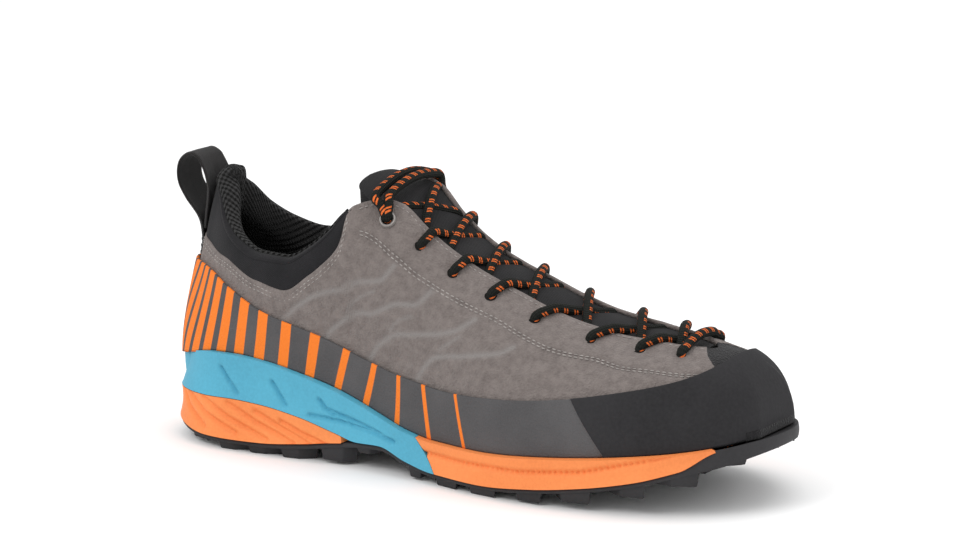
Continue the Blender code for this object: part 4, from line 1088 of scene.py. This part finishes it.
def side_wall(station, side, low, high, steps, slant=0.0):
    points = []
    foot = station + slant
    z0, z1 = level(low, foot), level(high, station)
    for j in range(steps + 1):
        share = j / steps
        at = foot + (station - foot) * share
        z = z0 + (z1 - z0) * share
        base, rim = level("base", at), level("rim", at)
        up = min(max((z - base) / (rim - base), 0.0), 1.0)
        inset = lean(at) * up ** 2 + SIDE_HOLLOW * math.sin(math.pi * share) * (z1 - z0) / SOLE_HEIGHT
        points.append(np.array([*(outline(at, side) - outward(at, side) * inset), z]))
    return points


def foam_foot(station):
    slant = ease(station, SLANT_FROM, BLUE_END) * (1 - ease(station, BLUE_END, SLANT_TO))
    return station + BLUE_SLANT * slant


def foam_section(station, side, low):
    foot = foam_foot(station)
    points = [lay(foot, side, share, low, GAP) for share in (0.0, MIDWAY)]
    side_points = side_wall(station, side, low, "rim", SIDE_STEPS, foot - station)
    side_points[0][2] = level(low, foot) + GAP
    turn = turn_at(station, side)
    rim = share_at_height(turn, level("rim", station) + GAP)
    rim_top = (side_points[-1] + face(turn, rim, GAP)) / 2 + [0, 0, 0.0003]
    points += side_points + [rim_top] + [face(turn, v, GAP) - [0, 0, GAP] for v in (rim, rim / 2, 0.0)]
    return points + [lay(station, side, share, "seat") for share in (MIDWAY, 0.0)]


def wedge_section(station, side):
    points = [lay(station, side, share, "base", GAP) for share in (0.0, MIDWAY)]
    side_points = side_wall(station, side, "base", "seam", SIDE_STEPS)
    side_points[0][2] += GAP
    return points + side_points + [lay(station, side, share, "seam") for share in (MIDWAY, 0.0)]


SIDE_STEPS = 30
SECTION_EDGE = 2


def carve(sections, station_list, side, lines, half, depth):
    """Moves the side's points in by depth along lines of length and height."""
    marks = []
    for line in lines:
        x, z = np.array(line).T
        fine = np.linspace(0, len(line) - 1, 60)
        marks.append(np.stack([np.interp(fine, range(len(line)), part) for part in (x, z)], axis=1))
    marks = np.concatenate(marks)
    for points, station in zip(sections, station_list):
        out = np.array([*outward(station, side), 0.0])
        for j in range(SECTION_EDGE, SECTION_EDGE + SIDE_STEPS + 1):
            spot = points[j]
            gap = np.sqrt(((marks - [spot[0], spot[2]]) ** 2).sum(axis=1)).min()
            rim = math.sin(math.pi * min(1.0, (j - SECTION_EDGE) / SIDE_STEPS)) ** 0.25
            points[j] = spot - out * depth * math.exp(-(gap / half) ** 2) * rim


def spread_out(start, end, count):
    """Stations, closer together where the outline turns round the heel or the toe."""
    spread = np.linspace(0, 1, count)
    if start == 0:
        spread = spread ** 1.35
    if end > FORE_TIP - 0.001:
        spread = 1 - (1 - spread) ** 1.25
    return start + (end - start) * spread


def loft(name, halves):
    """Closed object through the sections of its two sides, joined along the middle line."""
    bm = bmesh.new()
    for sections in halves:
        rows = [[bm.verts.new(point) for point in points] for points in sections]
        for a, b in zip(rows, rows[1:]):
            for j in range(len(a) - 1):
                bm.faces.new((a[j], b[j], b[j + 1], a[j + 1]))
    bmesh.ops.remove_doubles(bm, verts=bm.verts, dist=1e-6)
    bmesh.ops.holes_fill(bm, edges=[e for e in bm.edges if e.is_boundary], sides=0)
    bmesh.ops.recalc_face_normals(bm, faces=bm.faces)
    bmesh.ops.triangulate(bm, faces=[f for f in bm.faces if len(f.verts) > 4])
    mesh = bpy.data.meshes.new(name)
    bm.to_mesh(mesh)
    bm.free()
    mesh.shade_smooth()
    mesh.set_sharp_from_angle(angle=math.radians(42))
    return linked(name, mesh)


def foam(name, start, end, section, lines, half, depth, count):
    stations = spread_out(start, end, count)
    halves = []
    for side in (-1, 1):
        sections = [section(station, side) for station in stations]
        carve(sections, stations, side, lines, half, depth)
        halves.append(sections)
    return loft(name, halves)


blue = foam("foam_heel", 0.0, BLUE_END, lambda s, side: foam_section(s, side, "seam"),
            BLUE_GROOVES, 0.0009, 0.0019, 240)
dress(blue, "blue", "foam_blue", "midsole_heel")
wedge = foam("foam_wedge", 0.0, WEDGE_END, wedge_section, WEDGE_GROOVES, 0.0011, 0.0018, 220)
dress(wedge, "orange", "foam_orange", "heel_wedge")
fore = foam("foam_fore", BLUE_END + FOAM_SEAM, FORE_TIP, lambda s, side: foam_section(s, side, "base"),
            (FORE_BAND,), 0.0011, 0.0018, 200)
dress(fore, "orange", "foam_orange", "midsole_fore")
print("three foams,", sum(len(t.data.polygons) for t in (blue, wedge, fore)), "faces")

# %% [markdown]
# The tongue lies under both eyestays and stands free above them. It is a smooth pad through
# the same rows as its plain solid, with rounded edges and a rounded end, and no label.

# %% Tongue
TONGUE_THICK, TONGUE_CROWN = 0.0048, 0.0012
TONGUE_ROWS = (20.5, 19.5, 18.5, 18, 17, 16, 15, 14, 13, 12, 11.4)
TONGUE_END = ((0.0050, 0.93, 1.0), (0.0090, 0.84, 1.0), (0.0115, 0.70, 0.9), (0.0128, 0.52, 0.75),
              (0.0136, 0.30, 0.55), (0.0139, 0.06, 0.35))
TONGUE_HEADING = (-0.90, -0.10, 0.42)
TONGUE_EDGE = (0.45, 0.85, 1.0, 1.0, 1.0, 1.0, 1.0, 0.85, 0.45)


def tongue_line(row):
    sides = []
    for turn in (float(row), RING_END - float(row)):
        top, split = rand_share(turn), panel_share(turn)
        flap = [top + (split - top) * 2 / 3, split, 1.0]
        sides.append([(face(turn, v, -(WALL + GAP)), normal(turn, v)) for v in flap])
    left, right = sides[0], sides[1][::-1]
    a, b = left[-1][0], right[0][0]
    up = left[-1][1] + right[0][1]
    up = up / np.linalg.norm(up)
    middle = [(a + (b - a) * share + up * TONGUE_CROWN * 4 * share * (1 - share), up)
              for share in (0.25, 0.5, 0.75)]
    return left + middle + right


def tongue_rows():
    tops, lows = [], []
    for row in TONGUE_ROWS:
        line = tongue_line(row)
        tops.append([point for point, _ in line])
        lows.append([point - up * TONGUE_THICK * part for (point, up), part in zip(line, TONGUE_EDGE)])
    centre = line[len(line) // 2][0]
    for step, width, thick in TONGUE_END:
        move = np.array(TONGUE_HEADING) * step
        spots = [centre + (point - centre) * [1.0, width, width] + move for point, _ in line]
        tops.append(spots)
        lows.append([spot - up * TONGUE_THICK * thick * part
                     for spot, (_, up), part in zip(spots, line, TONGUE_EDGE)])
    return np.array(tops), np.array(lows)


def make_tongue():
    tops, lows = tongue_rows()
    fine = []
    for points in (tops, lows):
        along = spline(np.swapaxes(points, 0, 1), 130)
        fine.append(spline(np.swapaxes(along, 0, 1), 33))
    top, low = fine
    across = np.linspace(0, 1, 33)
    swell = 0.0004 * np.sin(math.pi * across)[None, :, None]
    top = top + unit(top - low) * swell
    side_a = (top[:, -1:] + low[:, -1:]) / 2 + (top[:, -1:] - top[:, -2:-1]) * 0.35
    side_b = (top[:, :1] + low[:, :1]) / 2 + (top[:, :1] - top[:, 1:2]) * 0.35
    rings = np.concatenate([top, side_a, low[:, ::-1], side_b], axis=1)
    tongue = sheet("tongue_pad", rings)
    dress(tongue, "tongue", "softshell", "tongue")
    return tongue


make_tongue()
print("tongue")

# %% [markdown]
# The pull loop is a strip of webbing on a smooth path: flat on the heel, out, up and over,
# and down into the collar. Its cross ribs come from the cloth's own UV map.

# %% Pull loop
LOOP_WIDTH, LOOP_THICK = 0.0185, 0.0014
LOOP_STITCH = ((-0.0075, -0.0320), (-0.0070, -0.0285), (-0.0067, -0.0260))
LOOP_PATH = ((-0.0076, -0.0330), (-0.0066, -0.0250), (-0.0085, -0.0160), (-0.0140, -0.0080),
             (-0.0172, 0.0000), (-0.0162, 0.0072), (-0.0112, 0.0112), (-0.0066, 0.0098), (-0.0042, 0.0050),
             (-0.0034, -0.0010), (-0.0038, -0.0080), (-0.0048, -0.0150), (-0.0056, -0.0210))


def make_loop():
    head = skin(0.0, 1.0)
    path = np.array([[head + [x, 0.0, z] for x, z in LOOP_PATH]])
    line = spline(path, 120)[0]
    run = np.gradient(line, axis=0)
    out = np.stack([-run[:, 2], np.zeros(len(run)), run[:, 0]], axis=1)
    out = unit(out)
    half, thin = LOOP_WIDTH / 2, LOOP_THICK / 2
    rings = []
    round_heel = skin_at(np.linspace(0.0, 3.0, 60), 0.98)
    way = np.linspace(0.0, 1.0, len(line))
    hug = np.interp(way, [0.0, 0.15, 0.30, 0.62, 0.78, 1.0], [1.0, 1.0, 0.25, 0.25, 1.0, 1.0])
    for point, side, close in zip(line, out, hug):
        ring = []
        for y, k in [(k * (i * LOOP_WIDTH / 16 - half), k) for k in (1, -1) for i in range(17)]:
            edge = max(0.0, (abs(y) - (half - 0.0008)) / 0.0008)
            selvage = 0.00015 * math.exp(-((abs(y) - half + 0.0015) / 0.0006) ** 2)
            back = np.interp(abs(y), -round_heel[:, 1], round_heel[:, 0] - round_heel[0, 0]) * close
            depth = thin * math.sqrt(max(0.04, 1 - edge ** 2)) + selvage
            ring.append(point + [back, y, 0.0] + side * k * depth)
        rings.append(ring)
    loop = sheet("webbing_loop", rings)
    return dress(loop, "webbing", "webbing", "pull_loop")


make_loop()
print("pull loop")

# %% [markdown]
# The lace comes up at the punched holes, and at a metal ring at the top. A strand from a
# hole lies on the suede and bends over the edge; the outer side's strand passes under the
# crossing and dives beneath the far edge, the other one lies on top.

# %% Lace
LACE_HEADS = (0.352, 0.388, 0.443, 0.499, 0.564, 0.638, 0.729, 0.807, 0.862)
LACE_RADIUS, EYELET_IN, OVER_EDGE = 0.00205, 0.0095, 0.0008
UNDER_STEP, FIRST_STRAND, LACE_ROWS = 0.65, 0.30, len(LACE_HEADS) - 1
HEAD_OF_ROW = np.array([(row, smooth(ROWS, SEC["head"], row)) for row in np.linspace(9, LAST_ROW, 600)])


def lace_turn(index, side):
    target = smooth(list(range(-1, LACE_ROWS)), list(LACE_HEADS), index)
    row = float(np.interp(target, HEAD_OF_ROW[:, 1], HEAD_OF_ROW[:, 0]))
    return mirror(row, side)


def stay_share(turn, inward):
    return 1 - inward / (np.linalg.norm(skin(turn, 1.0) - skin(turn, 0.8)) / 0.2)


def stay(index, side, inward, height):
    """Point over the eyestay, so far in from its edge; a negative way is beyond the edge."""
    turn = lace_turn(index, side)
    return face(turn, stay_share(turn, inward), height)


def rope(points, radius=LACE_RADIUS, sides=14, step=0.0009):
    """Rings of a cord on a smooth curve through points, for one closed tube."""
    points = np.array(points)
    line = spline(points[None], 24 * len(points))[0]
    run = run_of(line)
    even = np.linspace(0, run[-1], max(8, int(run[-1] / step)))
    line = np.stack([np.interp(even, run, line[:, i]) for i in range(3)], axis=1)
    way = unit(np.gradient(line, axis=0))
    side = np.cross(way[0], [0.0, 0.0, 1.0])
    side = side / np.linalg.norm(side)
    rings = []
    for point, ahead in zip(line, way):
        side = side - ahead * np.dot(side, ahead)
        side = side / np.linalg.norm(side)
        high = np.cross(side, ahead)
        rings.append([point + (side * math.cos(a) + high * math.sin(a)) * radius
                      for a in np.linspace(0, 2 * math.pi, sides, endpoint=False)])
    return np.array(rings)


def join(name, ropes):
    """One mesh of several closed cords, with u along them in metres and v round them."""
    vertices, polygons, uv = [], [], []
    for rings in ropes:
        count, size = rings.shape[:2]
        start = len(vertices)
        vertices += rings.reshape(-1, 3).tolist()
        along = run_of(rings.mean(axis=1))
        for i in range(count - 1):
            for j in range(size):
                k = (j + 1) % size
                a, b = start + i * size, start + (i + 1) * size
                polygons.append((a + j, a + k, b + k, b + j))
                uv += [along[i], j / size, along[i], (j + 1) / size, along[i + 1], (j + 1) / size,
                       along[i + 1], j / size]
        polygons.append([start + j for j in range(size)][::-1])
        polygons.append([start + (count - 1) * size + j for j in range(size)])
        uv += [0.0] * (4 * size)
    mesh = bpy.data.meshes.new(name)
    mesh.from_pydata(vertices, [], polygons)
    mesh.uv_layers.new(name="cloth").data.foreach_set("uv", uv)
    bm = bmesh.new()
    bm.from_mesh(mesh)
    bmesh.ops.recalc_face_normals(bm, faces=bm.faces)
    bm.to_mesh(mesh)
    bm.free()
    mesh.shade_smooth()
    return linked(name, mesh)


def arch(a, b, rise, shares):
    """Points between two others, on an arch that rises by this much at the middle."""
    return [a + (b - a) * share + [0, 0, rise * 4 * share * (1 - share)] for share in shares]


def strand(index, side):
    """Lace from its hole over the near edge, across the tongue and under the far edge."""
    below = side < 0
    start = index if index > 0 else FIRST_STRAND
    on, under = LACE_RADIUS * 0.72, -WALL - LACE_RADIUS
    edge = stay(start + 0.20, side, 0.0002, on + 0.0002)
    far = stay(start + UNDER_STEP + 0.05, -side, -0.0004, under * 0.75)
    hidden = stay(start + UNDER_STEP + 0.12, -side, 0.0045, under * 1.1)
    rise = -0.0004 if below else 0.0030
    path = [stay(start, side, EYELET_IN + 0.0003, -0.0030),
            stay(start + 0.02, side, EYELET_IN - 0.0008, on * 0.6),
            stay(start + 0.11, side, EYELET_IN * 0.52, on + 0.0003), edge]
    if index == 0:
        path = [stay(start, side, 0.0045, under * 1.1), stay(start + 0.05, side, -0.0004, under * 0.6)]
        edge, rise = path[-1], rise + 0.0018
    return path + arch(edge, far, rise, (0.25, 0.5, 0.75)) + [far, hidden]


def make_laces():
    for index in range(LACE_ROWS - 1):
        thing = join(f"lace_row_{index + 1}", [rope(strand(index, -1)), rope(strand(index, 1))])
        dress(thing, "lace", "lace", f"lace_crossing_{index + 1}")
    lift = LACE_RADIUS * 0.8
    last = LACE_ROWS - 1
    ways = ((EYELET_IN, -0.0030), (EYELET_IN - 0.0006, lift * 0.75), (EYELET_IN / 2, lift),
            (0.0010, lift + OVER_EDGE))
    ends = [[stay(last, side, inward, height) for inward, height in ways] for side in (-1, 1)]
    a, b = ends[0][-1], ends[1][-1]
    middle = arch(a, b, 0.0012, (0.33, 0.67))
    toe_bar = join("lace_bar_toe", [rope(ends[0] + middle + ends[1][::-1])])
    dress(toe_bar, "lace", "lace", "lace_toe_bar")
    for number, rows, lifts in ((1, (-0.04, -0.06), 0.0034), (2, (-0.50, -0.50), 0.0050)):
        slip = 0.0 if number == 1 else -0.22
        a, b = stay(rows[0], -1, 0.0, lift + 0.0018), stay(rows[1], 1, 0.0, lift + 0.0018)
        path = [stay(slip * 0.35, -1, EYELET_IN, -0.0035),
                stay(slip * 0.35, -1, EYELET_IN - 0.0012, lift),
                stay(slip, -1, EYELET_IN * 0.5, lift + 0.0012), a]
        path += arch(a, b, lifts, (0.25, 0.5, 0.75))
        path += [b, stay(slip, 1, EYELET_IN * 0.5, lift + 0.0006),
                 stay(slip * 0.35, 1, EYELET_IN - 0.0012, lift * 0.8),
                 stay(slip * 0.35, 1, EYELET_IN, -0.0035)]
        dress(join(f"lace_bar_top_{number}", [rope(path)]), "lace", "lace", f"lace_top_{number}")


make_laces()
print("lace in", LACE_ROWS + 2, "pieces")

# %% [markdown]
# The top pair of eyelets has rolled metal rings. The other holes show as punched: a dark disc
# in a dimple of the suede, which isn't bored. The disc's near-black is the dark lining seen through the hole
# and painted shade inside it.

# %% Eyelets
EYELET_OUTER, EYELET_HOLE, EYELET_HEIGHT = 0.0074, 0.0046, 0.0011
RING_SINK, RING_DEPTH = 0.0004, 0.0016
HOLE_RADIUS, HOLE_DEPTH, HOLE_SINK = 0.0026, 0.0016, 0.0011


def axes(turn, share):
    up = normal(turn, share)
    right = np.cross(up, [0, 0, 1.0])
    right = right / np.linalg.norm(right)
    return up, right, np.cross(right, up)


def make_rings():
    for side, word in ((-1, "lateral"), (1, "medial")):
        turn = lace_turn(0, side)
        share = stay_share(turn, EYELET_IN)
        centre = face(turn, share, 0.0)
        up, right, high = axes(turn, share)
        rings = []
        for angle in np.linspace(0, 2 * math.pi, 48, endpoint=False):
            spoke = right * math.cos(angle) + high * math.sin(angle)
            ring = []
            for k in range(9):
                swing = math.pi * k / 8
                reach = (EYELET_OUTER + EYELET_HOLE) / 4
                reach += (EYELET_OUTER - EYELET_HOLE) / 4 * math.cos(swing)
                height = -RING_SINK + (EYELET_HEIGHT + GAP + RING_SINK) * math.sin(swing)
                ring.append(centre + spoke * reach + up * height)
            ring.append(centre + spoke * EYELET_HOLE / 2 - up * RING_DEPTH)
            ring.append(centre + spoke * EYELET_OUTER / 2 - up * RING_DEPTH)
            rings.append(ring)
        dress(sheet(f"ring_{word}", rings, True), "ring", "metal", f"eyelet_{word}")


def make_holes():
    bm = bmesh.new()
    turns = [lace_turn(index, side) for index in (*range(1, LACE_ROWS), 0) for side in (-1, 1)]
    for turn in turns:
        share = stay_share(turn, EYELET_IN)
        up, right, high = axes(turn, share)
        matrix = Matrix((right, high, up)).transposed().to_4x4()
        matrix.translation = face(turn, share, -HOLE_SINK)
        bmesh.ops.create_cone(bm, cap_ends=True, segments=24, radius1=HOLE_RADIUS,
                              radius2=HOLE_RADIUS, depth=HOLE_DEPTH, matrix=matrix)
    mesh = bpy.data.meshes.new("punched_holes")
    bm.to_mesh(mesh)
    bm.free()
    dress(linked("punched_holes", mesh), "hole_lining_and_shade", "suede")


make_rings()
make_holes()
print("two rings and", 2 * LACE_ROWS, "holes")

# %% [markdown]
# All the stitching comes from one Geometry Nodes tree: it takes lines, spreads stitches
# along them at an even pitch, and turns each one to follow its line.

# %% Stitching
def stitch_tree():
    tree = bpy.data.node_groups.new("stitching", "GeometryNodeTree")
    sockets = {}
    for name, kind in (("Lines", "Geometry"), ("Pitch", "Float"), ("Length", "Float"),
                       ("Width", "Float"), ("Thread", "Material"), ("Stitches", "Geometry")):
        way = "OUTPUT" if name == "Stitches" else "INPUT"
        sockets[name] = tree.interface.new_socket(name, in_out=way, socket_type="NodeSocket" + kind)
    start, end = tree.nodes.new("NodeGroupInput"), tree.nodes.new("NodeGroupOutput")
    curve = put(tree, "GeometryNodeMeshToCurve", {"Mesh": start.outputs["Lines"]})
    spread = put(tree, "GeometryNodeCurveToPoints", {"Curve": curve.outputs["Curve"],
                                                     "Length": start.outputs["Pitch"]}, mode="LENGTH")
    ball = put(tree, "GeometryNodeMeshUVSphere", {"Segments": 8, "Rings": 6, "Radius": 0.5})
    size = put(tree, "ShaderNodeCombineXYZ", {"X": start.outputs["Width"], "Y": start.outputs["Width"],
                                              "Z": start.outputs["Length"]})
    place = put(tree, "GeometryNodeInstanceOnPoints", {
        "Points": spread.outputs["Points"], "Instance": ball.outputs["Mesh"],
        "Rotation": spread.outputs["Rotation"], "Scale": size.outputs["Vector"]})
    real = put(tree, "GeometryNodeRealizeInstances", {"Geometry": place.outputs["Instances"]})
    paint = put(tree, "GeometryNodeSetMaterial", {"Geometry": real.outputs["Geometry"],
                                                  "Material": start.outputs["Thread"]})
    tree.links.new(paint.outputs["Geometry"], end.inputs["Stitches"])
    return tree, {name: socket.identifier for name, socket in sockets.items()}


EDGE_POINTS = 80
STITCHING, STITCH_INPUTS = stitch_tree()


def stitch(name, lines, paint, slot, pitch, length, width):
    vertices, edges = [], []
    for line in lines:
        edges += [(len(vertices) + i, len(vertices) + i + 1) for i in range(len(line) - 1)]
        vertices += [tuple(p) for p in line]
    mesh = bpy.data.meshes.new(name)
    mesh.from_pydata(vertices, edges, [])
    thing = linked(name, mesh)
    modifier = thing.modifiers.new("stitching", "NODES")
    modifier.node_group = STITCHING
    for key, value in (("Pitch", pitch), ("Length", length), ("Width", width), ("Thread", PAINT[paint])):
        modifier[STITCH_INPUTS[key]] = value
    bpy.context.view_layer.update()
    made = bpy.data.meshes.new_from_object(thing.evaluated_get(bpy.context.evaluated_depsgraph_get()))
    thing.modifiers.clear()
    thing.data = made
    made.shade_smooth()
    return dress(thing, paint, slot)


def edge_line(start, end, side, away):
    """Line beside the top edge of the suede, away from it along the skin."""
    turns = mirror(np.linspace(start, end, EDGE_POINTS), side)
    top = suede_top(turns)
    length = np.linalg.norm(skin_at(turns, top) - skin_at(turns, top - 0.1), axis=1) / 0.1
    return faces_at(turns, top - away / length, np.zeros(EDGE_POINTS))


def make_stitches():
    seam = []
    for side in (-1, 1):
        for slide in (-0.011, 0.011):
            line = [(row, share + slide) for row, share in SEAM]
            seam.append(trace(line, side, offset=-0.00015)[0])
    stitch("stitches_seam", seam, "thread", "suede", 0.0025, 0.0018, 0.0006)
    panel = [edge_line(0.4, 9.6, side, away) for side in (-1, 1) for away in (0.0016, 0.0034)]
    stitch("stitches_panel", panel, "thread", "suede", 0.0024, 0.0016, 0.0005)
    throat = [edge_line(10.6, 20.2, side, 0.0020) for side in (-1, 1)]
    stitch("stitches_throat", throat, "thread", "suede", 0.0026, 0.0017, 0.0005)
    head, heel = skin(0.0, 1.0), skin_at(np.linspace(0.0, 3.0, 60), 0.98)
    box = []
    for y in np.linspace(-0.0075, 0.0075, 7):
        bend = np.interp(abs(y), -heel[:, 1], heel[:, 0] - heel[0, 0])
        box.append([head + [bend - 0.0007 + x, y, z] for x, z in LOOP_STITCH])
    stitch("stitches_loop", box, "dark_thread", "webbing", 0.0022, 0.0016, 0.0005)


make_stitches()
sewn = [thing for thing in bpy.data.objects if thing.name.startswith("stitches")]
print("stitches:", sum(len(thing.data.polygons) for thing in sewn), "faces")

# %% [markdown]
# The outsole is a rubber sheet that turns up round the toe to meet the cap, with bevelled
# lugs under it at the places of its solid: a pair along each edge, a row under the heel,
# two under the forefoot and one across the toe.

# %% Outsole
OUTSOLE_INSET, LUG_SINK, LUG_REACH, LUG_TAPER, LUG_BEVEL = 0.0010, 0.0008, 0.0150, 0.0012, 0.0006
CENTRE_LUG, CENTRE_STEP = 0.0125, 0.0100
LIP_FROM, LIP_TO, LIP_OUT, EDGE_ROUND = 0.925, 0.948, 0.9, 0.0012
TOE_LUG = ((0.950, 0.0025), (0.982, 0.0025), (0.982, 0.0125), (0.950, 0.0160))
TOE_LUG_MIDDLE, TOE_LUG_RAISE = 0.965, 0.0010
EDGE_LUGS = ((0.060, 0.090), (0.118, 0.146), (0.172, 0.200), (0.230, 0.262), (0.300, 0.340), (0.363, 0.388),
             (0.460, 0.486), (0.512, 0.556), (0.578, 0.628), (0.662, 0.706), (0.734, 0.782), (0.824, 0.862),
             (0.894, 0.930))
HEEL_LUGS, FORE_LUGS = (0.090, 0.145, 0.198, 0.252), (0.535, 0.603, 0.684, 0.758, 0.843)


def rubber_section(station, side):
    """Section of the rubber sheet, with a rounded edge and a lip that meets the toe cap."""
    turn_up = float(ease(station, LIP_FROM, LIP_TO))
    lip = (level("rim", station) - level("base", station)) * turn_up
    low = [lay(station, side, share, "sheet", 0.0, OUTSOLE_INSET) for share in (0.0, MIDWAY, 0.85)]
    high = [lay(station, side, share, "base", lip if share > 0.9 else 0.0, OUTSOLE_INSET)
            for share in (0.97, MIDWAY, 0.0)]
    edge = lay(station, side, 1.0, "sheet", 0.0, OUTSOLE_INSET * (1 - LIP_OUT * turn_up))
    top = level("base", station) + lip
    out = np.array([*outward(station, side), 0.0])
    turned = []
    for k in range(9):
        share = k / 8
        round_in = EDGE_ROUND * (1 - math.sin(math.pi * min(1.0, 0.12 + 0.76 * share)) ** 0.5)
        spot = edge - out * round_in
        turned.append(np.array([spot[0], spot[1], edge[2] + (top - edge[2]) * share]))
    return low + turned + high


def lug_level(start, end):
    return min(level("tread", start), level("tread", end), level("tread", (start + end) / 2))


def lug(bm, corners, tread):
    """Tapered block with bevelled edges, from its root in the sheet down to the tread."""
    middle = np.mean(corners, axis=0)
    part = bmesh.new()
    rings = []
    for of_top in (True, False):
        ring = []
        for corner in corners:
            pull = unit(middle - corner) * (0.0 if of_top else LUG_TAPER)
            root = level("sheet", (corner[0] + HEEL_CENTRE) / LENGTH) + LUG_SINK
            ring.append(part.verts.new(np.array([*(corner + pull), root if of_top else tread])))
        rings.append(ring)
    a, b = rings
    for i in range(4):
        j = (i + 1) % 4
        part.faces.new((a[i], a[j], b[j], b[i]))
    part.faces.new(a[::-1])
    part.faces.new(b)
    bmesh.ops.recalc_face_normals(part, faces=part.faces)
    bmesh.ops.bevel(part, geom=[e for e in part.edges if not all(v in a for v in e.verts)],
                    offset=LUG_BEVEL, segments=3, profile=0.6, affect="EDGES")
    loose = bpy.data.meshes.new("lug")
    part.to_mesh(loose)
    part.free()
    bm.from_mesh(loose)
    bpy.data.meshes.remove(loose)


def make_lugs():
    bm = bmesh.new()
    for start, end in EDGE_LUGS:
        for side in (-1, 1):
            reach = OUTSOLE_INSET + LUG_SINK
            corners = [outline(start, side, reach), outline(end, side, reach),
                       outline(end, side, reach + LUG_REACH), outline(start, side, reach + LUG_REACH)]
            lug(bm, corners, lug_level(start, end))
    half = CENTRE_LUG / 2
    spots = [(station, 0.0) for station in HEEL_LUGS]
    spots += [(station, side * CENTRE_STEP) for station in FORE_LUGS for side in (-1, 1)]
    for station, across in spots:
        x = station * LENGTH - HEEL_CENTRE
        corners = [np.array([x + dx * half, across + dy * half * 0.85])
                   for dx, dy in ((-1, -1), (1, -1), (1, 1), (-1, 1))]
        lug(bm, corners, lug_level(station - half / LENGTH, station + half / LENGTH))
    for side in (-1, 1):
        corners = [outline(station, side, inset) for station, inset in TOE_LUG]
        lug(bm, corners, level("tread", TOE_LUG_MIDDLE) + TOE_LUG_RAISE)
    mesh = bpy.data.meshes.new("tread_lugs")
    bm.to_mesh(mesh)
    bm.free()
    mesh.shade_smooth()
    mesh.set_sharp_from_angle(angle=math.radians(50))
    return dress(linked("tread_lugs", mesh), "tread", "tread_rubber")


stations = spread_out(0.0, 1.0, 220)
rubber = loft("tread_sheet", [[rubber_section(s, side) for s in stations] for side in (-1, 1)])
dress(rubber, "tread", "tread_rubber", "outsole")
make_lugs()
print("outsole with", 2 * len(EDGE_LUGS) + len(HEEL_LUGS) + 2 * len(FORE_LUGS) + 2, "lugs")

# %% [markdown]
# The insole keeps its solid and only gets its finish.

# %% Last finishes
for slot in frame["nodes"]["insole"].material_slots:
    slot.material = PAINT["footbed"]
